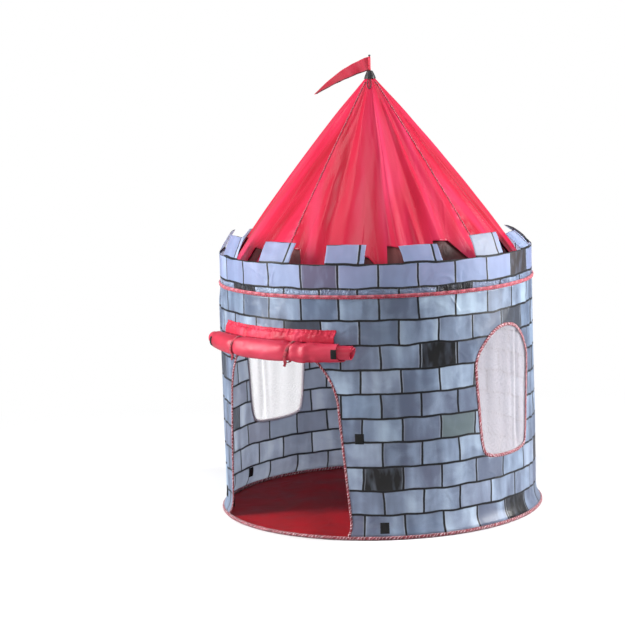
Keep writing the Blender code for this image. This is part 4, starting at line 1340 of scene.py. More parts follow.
@dataclass
class Battlements(SubAssembly):
    """The printed band over the piping and the thirteen flaps that lean in over the roof."""

    band_foot: float = 0.7035
    band_top: float = 0.793
    hinge: float = 0.7939
    hinge_line: float = 0.4725
    flap_height: float = 0.067
    flap_half: float = 0.05725
    flap_start: float = radians(2.5)
    flap_step: float = tau / 13
    leans: tuple[int, ...] = (32, 39, 48, 22, 45, 46, 36, 28, 40, 33, 42, 30, 24)

    def build(self) -> list[Piece]:
        """The band and its flaps."""
        return [self.build_band()] + [self.build_flap(index) for index in range(len(self.leans))]

    def build_band(self) -> Piece:
        """The band, rippled where the piping pulls it in, with a slightly uneven top edge."""
        tower = self.tower

        def place(across: float, down: float) -> Vector:
            """A point of the band's outer face."""
            turn = -pi + tau * across
            gather = bump_at(down, 0.86, 0.10)
            ripple = 0.0011 * gather * waver(turn * 34, down * 3)
            ripple += 0.0016 * waver(turn * 4, down * 1.3, 2.0) * (1 - down)
            sewn = -0.0011 * smooth(down, 0.9, 1.0)
            height = self.band_top + (self.band_foot - self.band_top) * down
            height += 0.0006 * waver(turn * 12, 3.0) * (1 - down)
            return around(turn, tower.wall_radius - 0.0003 + ripple + sewn, height)

        def printed(across: float, down: float) -> Flat:
            """Bricks round and courses up."""
            height = self.band_top + (self.band_foot - self.band_top) * down
            return tower.bricks(-pi + tau * across), tower.courses(height)

        band = cloth_grid("battlement_band_cloth", 364, 16, place, self.finishes.stone, printed, ring=True)
        area = cloth_area(band)
        thicken(band, tower.cloth, behind=self.finishes.stone_behind)
        declare_sheet((tau * tower.wall_radius, self.band_top - self.band_foot), area)
        return dress(band, TENT_BODY, "battlement_band")

    def build_flap(self, index: int) -> Piece:
        """One flap: a brick wide, folded at the band's top edge and a little curled.

        Args:
            index: Its number round from the doorway.

        Returns:
            The flap, bent between the band and its own body.
        """
        number = index + 1
        turn = self.flap_start + index * self.flap_step
        lean = radians(self.leans[index])
        curl = 0.05 + 0.07 * waver(index * 3.7, 1.0)
        twist = 0.035 * waver(index * 5.1, 4.0)
        tuck = 0.007

        def place(across: float, down: float) -> Vector:
            """A point of the flap: a tuck inside the band, the fold, and the leaning face."""
            side = 2 * across - 1
            run = (1 - down) * (self.flap_height + tuck) - tuck
            bow = cos(side * self.flap_step / 4)
            straight = min(1.0, max(0.0, 1 - run / 0.03))
            inner = self.hinge_line - (1 - bow) * self.tower.wall_radius * straight
            if run <= 0:
                return self.stand(turn, side * self.flap_half, inner - 0.0012, self.hinge + run)
            tilt = lean * smooth(run, 0.0, 0.007) + curl * (run / self.flap_height - 0.4)
            out = run * cos(tilt + twist * side)
            back = run * sin(tilt + twist * side)
            dent = 0.0013 * waver(side * 1.7 + index, run * 30, 2.0)
            dent += 0.0016 * side * side * run / self.flap_height
            narrow = 1 - 0.012 * sin(pi * run / self.flap_height)
            return self.stand(turn, side * self.flap_half * narrow, inner - back - dent * cos(tilt),
                              self.hinge + out - dent * sin(tilt))

        def printed(across: float, down: float) -> Flat:
            """Bricks round and courses up, carrying on from the band."""
            run = (1 - down) * (self.flap_height + tuck) - tuck
            bricks = self.tower.bricks(turn) + (2 * across - 1) * 0.5
            return bricks, 12 + max(run, -0.004) / self.tower.course

        flap = cloth_grid(f"merlon_{number:02d}_cloth", 22, 20, place, self.finishes.stone, printed)
        area = cloth_area(flap)
        thicken(flap, self.tower.cloth, behind=self.finishes.stone_behind)
        crease = around(turn, self.hinge_line, self.hinge)
        ahead = around(turn, self.hinge_line - 0.010 * sin(lean), self.hinge + 0.010 * cos(lean))
        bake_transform(flap, TENT_BODY, f"flap_{number:02d}", start=tuple(crease - (ahead - crease) * 0.25),
                 end=tuple(ahead))
        declare_sheet((2 * self.flap_half, self.flap_height + tuck), area)
        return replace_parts(flap, f"merlon_{number:02d}")

    @staticmethod
    def stand(turn: float, across: float, reach: float, height: float) -> Vector:
        """A point across a flap's face: flat across, at a reach from the tent's middle."""
        out = Vector((sin(turn), -cos(turn), 0.0))
        side = Vector((cos(turn), sin(turn), 0.0))
        return out * reach + side * across + Vector((0.0, 0.0, height))


@dataclass(frozen=True)
class Fold:
    """One crease of the roof: the cloth climbs to its crest and drops away past it, in flat faces.

    The turns are in degrees within the panel, and head and foot are shares of the way down.
    """

    turn: float
    climb: float
    drop: float
    depth: float
    head: float
    foot: float


@dataclass
class Roof(SubAssembly):
    """Four panels of cone roof over bowed rods, with felled seams and a scalloped lower hem."""

    panels: int = 4
    columns: int = 150
    rows: int = 110
    foot_radius: float = 0.4716
    rise: float = 0.615
    bow: float = 0.016
    hollow: float = 0.009
    first_share: float = 0.019
    band_top: float = 0.793
    cloth: float = 0.0011
    front_folds: tuple[Fold, ...] = (
        Fold(5, 4.0, 8.0, 0.0080, 0.66, 0.92), Fold(14, 5.0, 6.0, 0.0080, 0.36, 0.84),
        Fold(28, 10.0, 17.0, 0.0130, 0.03, 0.92), Fold(50, 2.8, 4.6, 0.0130, 0.03, 0.92),
        Fold(60.5, 3.0, 2.6, 0.0085, 0.56, 0.92), Fold(70.5, 7.0, 4.4, 0.0130, 0.08, 0.92),
        Fold(84.5, 7.0, 4.0, 0.0080, 0.06, 0.90),
    )
    # Places where the hem is drawn up beside a flap: from and to in degrees, its height over the band
    # and the share of the way that it takes to come down again. The dark sheet behind shows there as painted
    # shadow.
    drawn_up: tuple[tuple[float, float, float, float], ...] = (
        (0.5, 10.2, 0.034, 0.30), (36.0, 41.5, 0.013, 0.60), (46.0, 53.5, 0.040, 0.05),
        (67.0, 82.0, 0.047, 0.42), (99.5, 112.5, 0.046, 0.40), (139.0, 148.5, 0.036, 0.50),
        (169.0, 176.0, 0.030, 0.05), (195.0, 205.5, 0.042, 0.45), (226.5, 233.0, 0.028, 0.05),
        (252.0, 263.0, 0.044, 0.40), (281.0, 287.0, 0.026, 0.10), (310.0, 318.5, 0.040, 0.35),
        (336.5, 343.5, 0.026, 0.05))
    painted_shade_sheet_gap: float = 0.007

    def folds(self, index: int) -> tuple[Fold, ...]:
        """The folds of one panel; the other panels have them reordered and of other depths."""
        if index == 0:
            return self.front_folds
        made = []
        for number, fold in enumerate(self.front_folds):
            shift = 4 * waver(number * 2.3, index * 5.7)
            depth = fold.depth * (0.75 + 0.5 * waver(number * 4.1, index * 3.3, 1.0))
            turn, climb, drop = fold.turn, fold.climb, fold.drop
            if index % 2:
                turn, climb, drop = 90 - turn, drop, climb
            wide = 1 + 0.3 * waver(number, index * 2.2)
            made.append(Fold(turn + shift, climb * wide, drop * wide, depth, fold.head, fold.foot))
        return tuple(made)

    def surface(self, turn: float, share: float, folds: tuple[Fold, ...], lift: float = 0.0) -> Vector:
        """A point of the roof, from the peak at share 0 to the hoop at share 1.

        Args:
            turn: The turn from the doorway.
            share: The share of the way down.
            folds: The panel's folds.
            lift: How far off the cloth.

        Returns:
            The point.
        """
        arch = 4 * share * (1 - share)
        at_pole = (1 - cos(self.panels * turn)) / 2
        dip = sin(self.panels * turn) ** 2
        bow = self.bow * (0.4 + 0.6 * at_pole)
        local = math.degrees(turn) % 90
        free = smooth(local, 0.0, 4.0) * (1 - smooth(local, 86.0, 90.0))
        stand = 0.0
        for fold in folds:
            along = smooth(share, fold.head, fold.head + 0.18)
            along *= 1 - smooth(share, fold.foot - 0.12, fold.foot + 0.1)
            wide = 0.75 + 0.35 * share
            past = (local - fold.turn + 1.2 * waver(share * 3, fold.turn)) / wide
            face = max(0.0, min(1 + past / fold.climb, 1 - past / fold.drop))
            stand += fold.depth * along * (0.5 * face + 0.5 * smooth(face, 0.0, 1.0))
        drawn = smooth(share, 0.02, 0.25)
        small = 0.0011 * waver(cos(turn) * 9, share * 7 + sin(turn) * 9, 6.0) * drawn
        pucker = 0.0007 * (1 - smooth(min(local, 90 - local), 0.0, 5.0)) * sin(share * 150)
        radius = share * self.foot_radius + arch * (bow - self.hollow * dip)
        radius += free * stand * (0.35 + 0.65 * share)
        radius += small + pucker * drawn + lift
        return around(turn, radius, self.tower.peak_height - share * self.rise)

    def hem_share(self, turn: float) -> float:
        """How far down the cloth reaches at a turn: to the hoop, or drawn up beside a flap."""
        degrees = math.degrees(turn) % 360
        share = 1.0 - 0.004 * (1 + waver(turn * 7, 2.0))
        for start, end, high, slant in self.drawn_up:
            if start - 0.8 < degrees < end:
                down = max(0.0, 1 - (end - degrees) / (end - start) / slant)
                level = self.band_top + high * (1 - 0.15 * smooth(degrees, start, end)) * (1 - down)
                level -= 0.012 * down
                lifted = (self.tower.peak_height - level) / self.rise
                share += (lifted - share) * smooth(degrees, start - 0.8, start)
        return share

    def build(self) -> list[Piece]:
        """The panels, their seams, and the dark sheet of painted shade behind their hem."""
        pieces = [self.build_panel(index) for index in range(self.panels)]
        pieces += [self.build_seam(index) for index in range(self.panels)]
        return pieces + [self.build_painted_shade_sheet()]

    def build_painted_shade_sheet(self) -> Piece:
        """A dark sheet of painted shade inside the foot of the roof, which shows as shadow where the hem is
        drawn up.
        """
        panels = [self.folds(index) for index in range(self.panels)]

        def place(across: float, down: float) -> Vector:
            """A point of the sheet of painted shade, hanging straight behind the roof."""
            turn = tau * across
            panel = int(across * self.panels) % self.panels
            return self.surface(turn, 0.76 + 0.22 * down, panels[panel], -self.painted_shade_sheet_gap)

        def printed(across: float, down: float) -> Flat:
            """Metres round and down."""
            return tau * across * self.foot_radius * 0.87, -down * 0.17

        painted_shade_sheet = cloth_grid("roof_painted_shade_sheet_cloth", 260, 14, place, self.finishes.painted_shade_sheet, printed, ring=True)
        area = cloth_area(painted_shade_sheet)
        thicken(painted_shade_sheet, 0.0008)
        declare_sheet((tau * self.foot_radius, 0.18), area)
        return dress(painted_shade_sheet, TENT_BODY)

    def build_panel(self, index: int) -> Piece:
        """One panel between two seams."""
        folds = self.folds(index)
        start = index * tau / self.panels

        def spot(across: float, down: float) -> tuple[float, float]:
            """The turn and share of a point."""
            turn = start + across * tau / self.panels
            return turn, self.first_share + down * (self.hem_share(turn) - self.first_share)

        def place(across: float, down: float) -> Vector:
            """A point of the panel."""
            return self.surface(*spot(across, down), folds)

        def printed(across: float, down: float) -> Flat:
            """Metres round and down the panel, each panel cut from its own part of the cloth."""
            turn, share = spot(across, down)
            length = math.hypot(self.foot_radius, self.rise)
            return ((turn - start - 0.8) * self.foot_radius * (0.25 + 0.75 * share),
                    index * 1.3 - share * length)

        panel = cloth_grid(f"roof_gore_{index + 1}_cloth", self.columns, self.rows, place,
                           self.finishes.roof, printed)
        area = cloth_area(panel)
        thicken(panel, self.cloth)
        declare_sheet((self.foot_radius * 1.6, math.hypot(self.foot_radius, self.rise) + 0.03),
                      area * 0.98)
        return dress(panel, TENT_BODY, f"roof_gore_{index + 1}")

    def build_seam(self, index: int) -> Piece:
        """The felled seam between two panels."""
        turn = index * tau / self.panels
        shares = [0.045 + 0.945 * k / 220 for k in range(221)]
        path = [self.surface(turn, share, (), 0.0004 + 0.0003 * waver(share * 60, index))
                for share in shares]
        slope = math.atan2(self.foot_radius, self.rise)
        normals = [around(turn, cos(slope), sin(slope))] * len(path)
        seam = swept(f"roof_seam_{index + 1}", path, normals, tape_section(0.0052, 0.0016, 0.0004),
                     self.finishes.seam,
                     False)
        return dress(seam, TENT_BODY)


@dataclass
class RolledDoor(SubAssembly):
    """The door rolled up and held by two ties, with the strip of cloth that it hangs from."""

    radius: float = 0.032
    half_length: float = 0.300
    outer_half: float = 0.252
    bow: float = 0.490
    line: float = 0.510
    height: float = 0.545
    pitch: float = 0.0058
    turns: float = 2.75
    lean: float = radians(38)
    taper: float = 0.20
    tie_places: tuple[float, float] = (-0.105, 0.105)
    header_height: float = 0.604
    header_turn: float = radians(27)
    header_foot_turn: float = radians(27.5)
    patch_place: float = 0.243
    patch_turn: float = radians(62)
    patch_width: float = 0.016
    patch_height: float = 0.030
    strap_width: float = 0.0095
    tail_width: float = 0.0055
    tie_thickness: float = 0.0011
    hinge: tuple[float, float, float] = (0.0, -0.4753, 0.604)

    def fullness(self, along: float) -> float:
        """How full the roll is at a length from its middle: tapered, and pinched by its ties."""
        share = along / self.half_length
        pinch = sum(0.13 * bump_at(along, place, 0.012) for place in self.tie_places)
        return (1 - self.taper * share * share) * (1 - pinch)

    def frame_at(self, along: float) -> Matrix:
        """The roll's own frame at a length from its middle: X along the roll, -Y outward."""
        centre = Matrix.Translation((0.0, self.bow - self.line, self.height))
        return centre @ Matrix.Rotation(along / self.bow, 4, "Z") @ Matrix.Translation((0.0, -self.bow, 0.0))

    def creases(self, along: float, angle: float, wound: float) -> float:
        """How far the cloth stands in or out of the round, in metres."""
        long_folds = 0.0011 * waver(along * 5, angle * 1.6, wound * 3)
        fine = 0.0006 * waver(along * 24, angle * 3.0 + along * 12, 5 + wound)
        gathers = 0.0
        for place in self.tie_places:
            off = abs(along - place)
            near = math.exp(-off / 0.035) * smooth(off, 0.004, 0.016)
            wave = angle * 5.0 + off * (40 if along > place else -40) + place * 30
            gathers += 0.0021 * near * sin(wave)
        # The right hand third is wrung by its tie, as slack cloth is.
        wrung = 0.0060 * bump_at(along, 0.160, 0.04)
        wrung *= waver(angle * 1.3 + along * 22, along * 30 - angle * 1.1, 2.0)
        return long_folds + fine + gathers + wrung

    def reach_of(self, wound: float, side: float) -> float:
        """How far a layer reaches along: the outer turn is the narrow top of the arch, so it ends first."""
        half = self.outer_half + (self.half_length - self.outer_half) * smooth(wound, 0.35, 1.1)
        return half - 0.010 * wound * (0.5 + 0.5 * sin(wound * 5.0 + side))

    def on_roll(self, along: float, wound: float) -> Vector:
        """A point of the spiral.

        Args:
            along: The length from the roll's middle.
            wound: Turns from the outer edge of the cloth inward.

        Returns:
            The point of the cloth's outer face.
        """
        angle = wound * tau - self.lean
        radius = (self.radius - self.pitch * wound) * self.fullness(along)
        radius += self.creases(along, angle, wound) * (1 if wound < 1.1 else 0.4)
        flat = Vector((0.0, -radius * sin(angle), radius * cos(angle)))
        return self.frame_at(along) @ flat

    def build(self) -> list[Piece]:
        """The roll, its header, ties and squares."""
        roll = self.build_roll()
        header = self.build_header()
        extras = []
        for side, place in (("left", self.tie_places[0]), ("right", self.tie_places[1])):
            extras.append(self.build_tie(side, place))
        for side, sign in (("left", -1), ("right", 1)):
            extras.append(self.build_square(side, sign))
        return [roll, header, *extras]

    def build_roll(self) -> Piece:
        """The spiral of cloth."""
        def place(across: float, down: float) -> Vector:
            """A point of the wound cloth."""
            wound = down * self.turns
            side = 2 * across - 1
            return self.on_roll(side * self.reach_of(wound, math.copysign(1.0, side)), wound)

        def printed(across: float, down: float) -> Flat:
            """Metres across and down the unrolled cloth."""
            return (2 * across - 1) * self.half_length, -down * self.turns * tau * self.radius * 0.75

        roll = cloth_grid("door_roll_cloth", 200, 120, place, self.finishes.door, printed)
        area = cloth_area(roll)
        thicken(roll, 0.0016)
        length = self.turns * tau * (self.radius - self.pitch * self.turns / 2)
        declare_sheet((2 * self.half_length, length * 1.15), area)
        return dress(roll, DOOR_BODY, "door_roll")

    def build_header(self) -> Piece:
        """The door's top: puckered where it is sewn to the wall, then drawn out over the roll."""
        reach = self.radius + 0.0024
        sewn_share = 0.16

        def place(across: float, down: float) -> Vector:
            """A point of the header."""
            side = 2 * across - 1
            turn = side * self.header_turn
            wall = self.tower.wall_radius + 0.0016
            frill = 0.0034 * waver(across * 34, 3.0) + 0.0022 * waver(across * 83, 1.0)
            if down < sewn_share:
                top = 1 - down / sewn_share
                lift = top * (0.0014 + frill) + 0.0004
                rise = 0.006 * top + 0.0016 * top * waver(across * 30, 6.0)
                return around(turn, wall + max(lift, 0.0003), self.header_height - 0.004 + rise)
            share = (down - sewn_share) / (1 - sewn_share)
            start = around(turn, wall + 0.0005, self.header_height - 0.004)
            along = side * self.header_foot_turn * self.bow
            out = reach * self.fullness(along)
            end = self.frame_at(along) @ Vector((0.0, out * sin(self.lean), out * cos(self.lean)))
            lift = 0.004 * sin(pi * share)
            gather = (1 - share) ** 1.5 * frill * 1.4
            gather += 0.0030 * sin(pi * share) * waver(across * 22 + share * 2.5, share * 2)
            gather += 0.0016 * sin(pi * share) * waver(across * 60 - share * 4, share * 3, 8.0)
            return start.lerp(end, share) + Vector((0.0, -lift - gather * 0.4, lift + gather))

        def printed(across: float, down: float) -> Flat:
            """Metres across and down."""
            return (2 * across - 1) * 0.23, 0.9 - down * 0.06

        header = cloth_grid("door_header_cloth", 220, 16, place, self.finishes.header, printed)
        area = cloth_area(header)
        thicken(header, 0.0011)
        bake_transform(header, TENT_BODY, DOOR_BODY, start=(0.0, -0.4765, 0.603), end=(0.0, -0.489, 0.588))
        declare_sheet((0.47, 0.066), area * 0.95)
        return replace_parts(header, "door_header")

    def build_tie(self, side: str, place: float) -> Piece:
        """A tape tied round the roll on a slant, with its knot and two tails in front.

        Args:
            side: "left" or "right".
            place: Its length along the roll from the middle.

        Returns:
            The tie.
        """
        slant = 0.010
        count = 72
        path, normals = [], []
        for index in range(count):
            angle = -tau * index / count
            along = place + slant * cos(angle)
            radius = self.radius * self.fullness(along) + 0.0014
            radius += max(0.0, self.creases(along, angle, 0.0)) * 0.5
            frame_here = self.frame_at(along)
            out = Vector((0.0, -sin(angle), cos(angle)))
            path.append(frame_here @ (out * radius))
            normals.append(frame_here.to_3x3() @ out)
        strap = swept(f"door_tie_{side}_strap", path, normals,
                      tape_section(self.strap_width, self.tie_thickness, 0.0002), self.finishes.tie, True)
        for part in self.build_knot(side, place):
            dress(part, DOOR_BODY)
        return dress(strap, DOOR_BODY, f"door_tie_{side}")

    def build_knot(self, side: str, place: float) -> list[Piece]:
        """The knot of a tie, an overhand one of the same tape, and its two hanging tails."""
        angle = radians(150)
        out = Vector((0.0, -sin(angle), cos(angle)))
        along = place - 0.0087
        middle = self.frame_at(along) @ (out * (self.radius * self.fullness(along) + 0.0045))
        facing = self.frame_at(along).to_3x3()
        path, normals = [], []
        for index in range(60):
            t = tau * index / 60
            spot = Vector((sin(t) + 2 * sin(2 * t), -sin(3 * t) * 0.8, cos(t) - 2 * cos(2 * t)))
            path.append(middle + facing @ (spot * 0.0017))
            normals.append((path[-1] - middle).normalized())
        knot = swept(f"door_tie_{side}_knot", path, normals, tube_section(0.0017, 0.0002, 8),
                     self.finishes.tie, True)
        made = [knot]
        for number, lean in enumerate((-0.24, 0.19)):
            line, faces = [], []
            for step in range(15):
                share = step / 14
                drop = share * 0.011
                sway = Vector((sin(lean) * drop + 0.0014 * sin(share * 5 + number),
                               0.0008 * number - 0.002 * share,
                               -cos(lean) * drop))
                line.append(middle + facing @ sway)
                faces.append(facing @ Vector((0.35 * sin(share * 3 + number * 2), -1.0, 0.1)).normalized())
            made.append(swept(f"door_tie_{side}_tail_{number + 1}", line, faces,
                              tape_section(self.tail_width, self.tie_thickness, 0.0002),
                              self.finishes.tie, False))
        return made

    def build_square(self, side: str, sign: int) -> Piece:
        """A square of hook-and-loop tape bent over the front of the roll near its end."""
        low, high = pi / 2 - self.patch_turn / 2, pi / 2 + self.patch_turn / 2

        def place(across: float, down: float) -> Vector:
            """A point of the square's face."""
            angle = low + (high - low) * down
            along = sign * self.patch_place + (across - 0.5) * self.patch_width
            wound = (angle + self.lean) / tau
            edge = 1 - max(abs(2 * across - 1), abs(2 * down - 1)) ** 8
            spot = self.on_roll(along, wound)
            middle = self.frame_at(along) @ Vector((0.0, 0.0, 0.0))
            return spot + (spot - middle).normalized() * (0.0005 + 0.0012 * edge)

        def printed(across: float, down: float) -> Flat:
            """Metres across and down."""
            return across * self.patch_width, -down * self.patch_height

        square = cloth_grid(f"roll_patch_{side}_tape", 8, 16, place, self.finishes.hook_tape, printed)
        thicken(square, 0.0009)
        return dress(square, DOOR_BODY, f"roll_patch_{side}")


@dataclass
class Peak(SubAssembly):
    """What gathers the top: the loop under the cap, and the pennant that turns on its pole."""

    roof: Roof
    loop_turn: float = radians(36)
    flag_turn: float = radians(-49)
    flag_foot: float = 1.3273
    hoist: float = 0.0405
    out: float = 0.166
    drop: float = 0.088
    sleeve: float = 0.0033

    def build(self) -> list[Piece]:
        """The loop, the pennant and its sleeve."""
        return [self.build_loop(), *self.build_flag()]

    def build_loop(self) -> Piece:
        """A black cord loop, both ends sewn in under the cap."""
        turn = self.loop_turn
        side = Vector((cos(turn), sin(turn), 0.0))
        points = []
        for index in range(25):
            angle = tau * index / 24
            share = (0.018 + 0.0143 - 0.0143 * cos(angle)) / self.roof.rise
            points.append(self.roof.surface(turn, share, (), 0.0026) + side * (0.0056 * sin(angle)))
        normals = [around(turn, 1.0, 0.6)] * len(points)
        loop = swept("apex_loop_cord", points, normals, tube_section(0.0013, 0.0001, 8),
                     self.finishes.black_tape, False)
        return dress(loop, TENT_BODY, "apex_loop")

    def build_flag(self) -> list[Piece]:
        """The pennant: cloth with a rolled dark hem along its lower edge, on a sleeve round the pole."""
        facing = Matrix.Rotation(self.flag_turn, 4, "Z")
        stand = Matrix.Translation((0.0, 0.0, self.flag_foot)) @ facing

        def place(across: float, down: float) -> Vector:
            """A point of the pennant."""
            taper = 1 - across * across * 0.94
            arch = 0.010 * 4 * across * (1 - across)
            sway = 0.006 * sin(across * tau * 0.8) * across
            sway += 0.0022 * sin(across * 19 + down * 2.2) * (1 - across) * smooth(across, 0.0, 0.12)
            height = self.hoist / 2 - across * self.drop + arch
            height += (0.5 - down) * (self.hoist - 0.0006) * taper
            height += 0.0012 * waver(across * 7, down * 2)
            return stand @ Vector((sway, -0.0029 - across * self.out, height))

        def printed(across: float, down: float) -> Flat:
            """Metres out and down."""
            return across * self.out, 2.0 - down * self.hoist

        flag = cloth_grid("flag_cloth", 60, 14, place, self.finishes.pennant, printed)
        area = cloth_area(flag)
        thicken(flag, 0.0010, 0.0)
        sleeve = cloth_grid("flag_sleeve", 20, 10, lambda across, down: stand @ Vector((
            self.sleeve * sin(across * tau), -self.sleeve * cos(across * tau),
            self.hoist * (1 - down) + 0.0004 * waver(across * 5, down * 5))), self.finishes.pennant,
            lambda across, down: (across * 0.02, 1.5 + down * self.hoist), ring=True)
        thicken(sleeve, 0.0007)
        hem_path = [place(k / 60, 0.975) for k in range(59)]
        flat = facing.to_3x3() @ Vector((1.0, 0.0, 0.0))
        hem = swept("flag_hem", hem_path, [flat] * len(hem_path), tape_section(0.0034, 0.0019, 0.0003),
                    self.finishes.dark_thread, False)
        declare_sheet((self.out + 0.05, self.hoist), area)
        return [dress(flag, FLAG_BODY, "flag"), dress(sleeve, FLAG_BODY),
                dress(hem, FLAG_BODY)]


@dataclass
class Floor(SubAssembly):
    """The coated groundsheet inside the hem, a little rucked."""

    radius: float = 0.4835

    def build(self) -> list[Piece]:
        """The groundsheet."""
        def place(across: float, down: float) -> Vector:
            """A point of the sheet, from its rim at down 0 to its middle at down 1."""
            turn = tau * across
            radius = self.radius * (1 - down)
            x, y = radius * sin(turn), -radius * cos(turn)
            calm = 1 - smooth(radius, 0.36, 0.44)
            rise = 0.0022 * max(0.0, waver(x * 5 + 2, y * 9))
            rise += 0.0026 * max(0.0, waver(x * 11 + y * 6, y * 4, 3.0) - 0.1)
            return Vector((x, y, 0.0012 + rise * calm))

        def printed(across: float, down: float) -> Flat:
            """Metres over the floor."""
            spot = place(across, down)
            return spot.x, spot.y

        sheet = cloth_grid("floor_cloth", 104, 48, place, self.finishes.floor, printed)
        mesh = bmesh.new()
        mesh.from_mesh(sheet.data)
        bmesh.ops.remove_doubles(mesh, verts=mesh.verts, dist=0.0002)
        mesh.to_mesh(sheet.data)
        mesh.free()
        area = cloth_area(sheet)
        thicken(sheet, 0.0011)
        for corner in sheet.data.vertices:
            corner.co.z = max(corner.co.z, 0.0)
        declare_sheet((2 * self.radius, 2 * self.radius), area)
        return [dress(sheet, TENT_BODY, "floor_sheet")]


@dataclass
class Fittings:
    """The rigid pieces that are carried over from the frame: hoops, poles, ferrules, cups, hub, cap."""

    finishes: Finishes

    def build(self) -> list[Piece]:
        """Gives every rigid node its finish."""
        dressed = []
        finishes = self.finishes
        kinds = ((("base_hoop", "top_hoop"), finishes.steel),
                 (("wall_pole", "roof_pole"), finishes.glass_fibre),
                 (("pole_elbow", "pole_cup", "apex_hub", "apex_cap", "flag_pole"), finishes.black_plastic))
        for name, piece in sorted(frame["nodes"].items()):
            finish = next((finish for kind, finish in kinds if name.startswith(kind)), None)
            if finish is None:
                continue
            for slot in piece.material_slots:
                slot.material = finish
            if not piece.material_slots:
                piece.data.materials.append(finish)
            dressed.append(piece)
        return dressed


@dataclass(frozen=True)
class Lamp:
    """One soft lamp of the studio: where it stands round the tent, how big it is and how strong."""

    name: str
    azimuth: float
    distance: float
    height: float
    size: Flat
    watts: float
    aim: float = 0.6


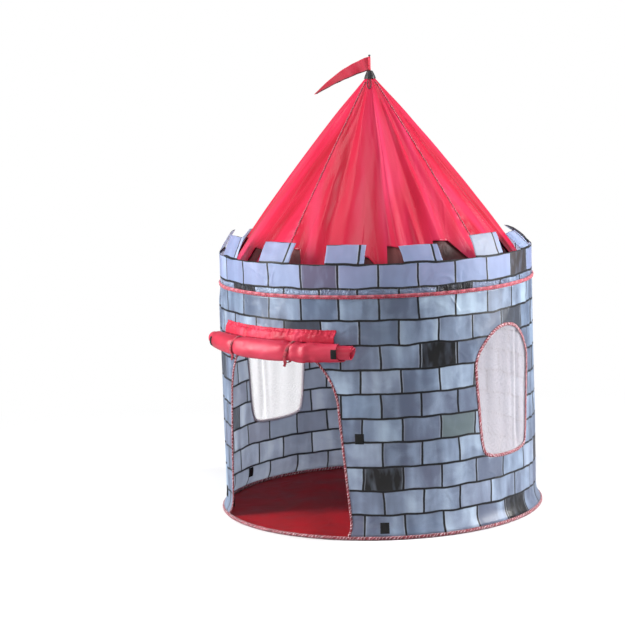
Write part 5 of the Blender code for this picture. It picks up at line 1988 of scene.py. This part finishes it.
@dataclass
class Studio:
    """The camera, lamps, floor and surroundings, none of them part of the tent."""

    azimuth: float = radians(41)
    elevation: float = radians(7.3434)
    roll: float = radians(-1.6589)
    distance: float = 6.0
    focal_pixels: float = 1959.2
    image_pixels: float = 625.0
    sensor: float = 36.0
    aim_height: float = 0.65
    principal: Flat = (376.11, 292.94)
    surround: float = 0.32
    lamps: tuple[Lamp, ...] = (
        Lamp("left_window_lamp", -79, 3.0, 1.6, (0.9, 2.4), 144),
        Lamp("right_window_lamp", 86, 2.9, 1.5, (0.9, 2.4), 152),
        Lamp("front_lamp", -6, 4.6, 1.3, (1.4, 1.4), 34, 0.5),
        Lamp("top_lamp", -14, 1.3, 3.3, (0.8, 0.8), 9, 1.0),
        Lamp("over_left_lamp", -85, 1.5, 3.3, (0.6, 1.0), 6, 1.0),
        Lamp("over_right_lamp", 85, 1.5, 3.3, (0.6, 1.0), 5, 1.0),
    )

    def build(self) -> None:
        """Sets up everything round the tent."""
        self.build_camera()
        self.build_lamps()
        self.build_floor()
        self.build_surround()
        bpy.context.scene.view_settings.view_transform = "Standard"

    def build_camera(self) -> None:
        """The camera at the photograph's angle, turned so that the tent lies where the photograph has it."""
        ahead = Vector((0.0, cos(self.elevation), -sin(self.elevation)))
        right = Vector((1.0, 0.0, 0.0))
        up = right.cross(ahead)
        side = right * cos(self.roll) + up * sin(self.roll)
        top = -right * sin(self.roll) + up * cos(self.roll)
        place = Vector((0.0, 0.0, self.aim_height)) - ahead * self.distance
        half = self.image_pixels / 2
        x, y = self.principal
        ahead = ahead + side * ((half - x) / self.focal_pixels)
        ahead = (ahead + top * ((y - half) / self.focal_pixels)).normalized()
        top = (top - ahead * top.dot(ahead)).normalized()
        side = ahead.cross(top)
        matrix = Matrix((side, top, -ahead)).transposed().to_4x4()
        matrix.translation = place
        lens = bpy.data.cameras.new("camera")
        lens.sensor_width = self.sensor
        lens.lens = self.focal_pixels / self.image_pixels * self.sensor
        camera = bpy.data.objects.new("camera", lens)
        bpy.context.scene.collection.objects.link(camera)
        camera.matrix_world = Matrix.Rotation(self.azimuth, 4, "Z") @ matrix
        bpy.context.scene.camera = camera

    def build_lamps(self) -> None:
        """The soft lamps, placed round the tent from the camera's own azimuth."""
        for lamp in self.lamps:
            data = bpy.data.lights.new(lamp.name, "AREA")
            data.shape = "RECTANGLE"
            data.size, data.size_y = lamp.size
            data.energy = lamp.watts
            made = bpy.data.objects.new(lamp.name, data)
            bpy.context.scene.collection.objects.link(made)
            place = around(self.azimuth + radians(lamp.azimuth), lamp.distance, lamp.height)
            toward = Vector((0.0, 0.0, lamp.aim)) - place
            turned = toward.to_track_quat("-Z", "Y").to_matrix().to_4x4()
            made.matrix_world = Matrix.Translation(place) @ turned

    def build_floor(self) -> None:
        """A plain pale floor, seen as a paler one by the eye than by the lamps."""
        material, add, shader = bare_material("pale_studio_floor")
        seen = self.seen_by_eye(add)
        colour = add("Mix", "RGBA", seen, "B9B9BB", "F4F4F5")
        set_inputs(shader, {"Base Color": colour, "Roughness": 0.9, "Specular IOR Level": 0.1})
        # Away from the tent the floor runs into the white surround, so that no horizon shows.
        spot = add("TexCoord")
        far = add("VectorMath", "LENGTH", spot.outputs["Object"])
        fade = add("MapRange", "SMOOTHERSTEP", far, 0.7, 2.2, 0.0, 1.0)
        amount = add("Math", "MULTIPLY", fade, seen)
        white = add("Emission", None, PLAIN_WHITE, 1.0)
        whole = add("MixShader", None, amount, shader, white)
        show(whole)
        mesh = bpy.data.meshes.new("studio_floor")
        reach = 14.0
        mesh.from_pydata([(-reach, -reach, -0.0004), (reach, -reach, -0.0004), (reach, reach, -0.0004),
                          (-reach, reach, -0.0004)], [], [(0, 1, 2, 3)])
        new_piece("studio_floor", mesh, material)

    def build_surround(self) -> None:
        """An even grey surround for the tent and a white one for the eye."""
        world = bpy.data.worlds.new("studio")
        bpy.context.scene.world = world
        world.use_nodes = True
        world.node_tree.nodes.clear()
        add = partial(add_node, world.node_tree)
        seen = self.seen_by_eye(add)
        strength = add("MapRange", None, seen, 0.0, 1.0, self.surround, 1.0)
        light = add("Background", None, PLAIN_WHITE, strength)
        add("OutputWorld", None, Surface=light)

    @staticmethod
    def seen_by_eye(add: Add) -> Node:
        """One where the camera looks, straight or through glass, and nought for light that bounces."""
        path = add("LightPath")
        return add("Math", "MAXIMUM", path.outputs["Is Camera Ray"], path.outputs["Is Transmission Ray"])


def report(group: str, pieces: Sequence[Piece]) -> None:
    """Writes one line about each piece that a group has made."""
    for piece in pieces:
        faces = len(piece.data.polygons) if piece.type == "MESH" else 0
        LOG.info("%s: %s, %d faces, on %s", group, piece.name, faces, body_of(piece))


def main() -> None:
    """Builds the studio and then every sub-assembly of the tent."""
    logging.basicConfig(level=logging.INFO, format="%(name)s %(message)s")
    Studio().build()
    tower = Tower()
    finishes = Finishes()
    roof = Roof(tower, finishes)
    groups = (("peak", Peak(tower, finishes, roof)), ("floor", Floor(tower, finishes)),
              ("wall", Wall(tower, finishes)),
              ("rims", Rims(tower, finishes)), ("battlements", Battlements(tower, finishes)), ("roof", roof),
              ("rolled door", RolledDoor(tower, finishes)), ("fittings", Fittings(finishes)))
    for name, group in groups:
        report(name, group.build())


if __name__ == "__main__":
    main()
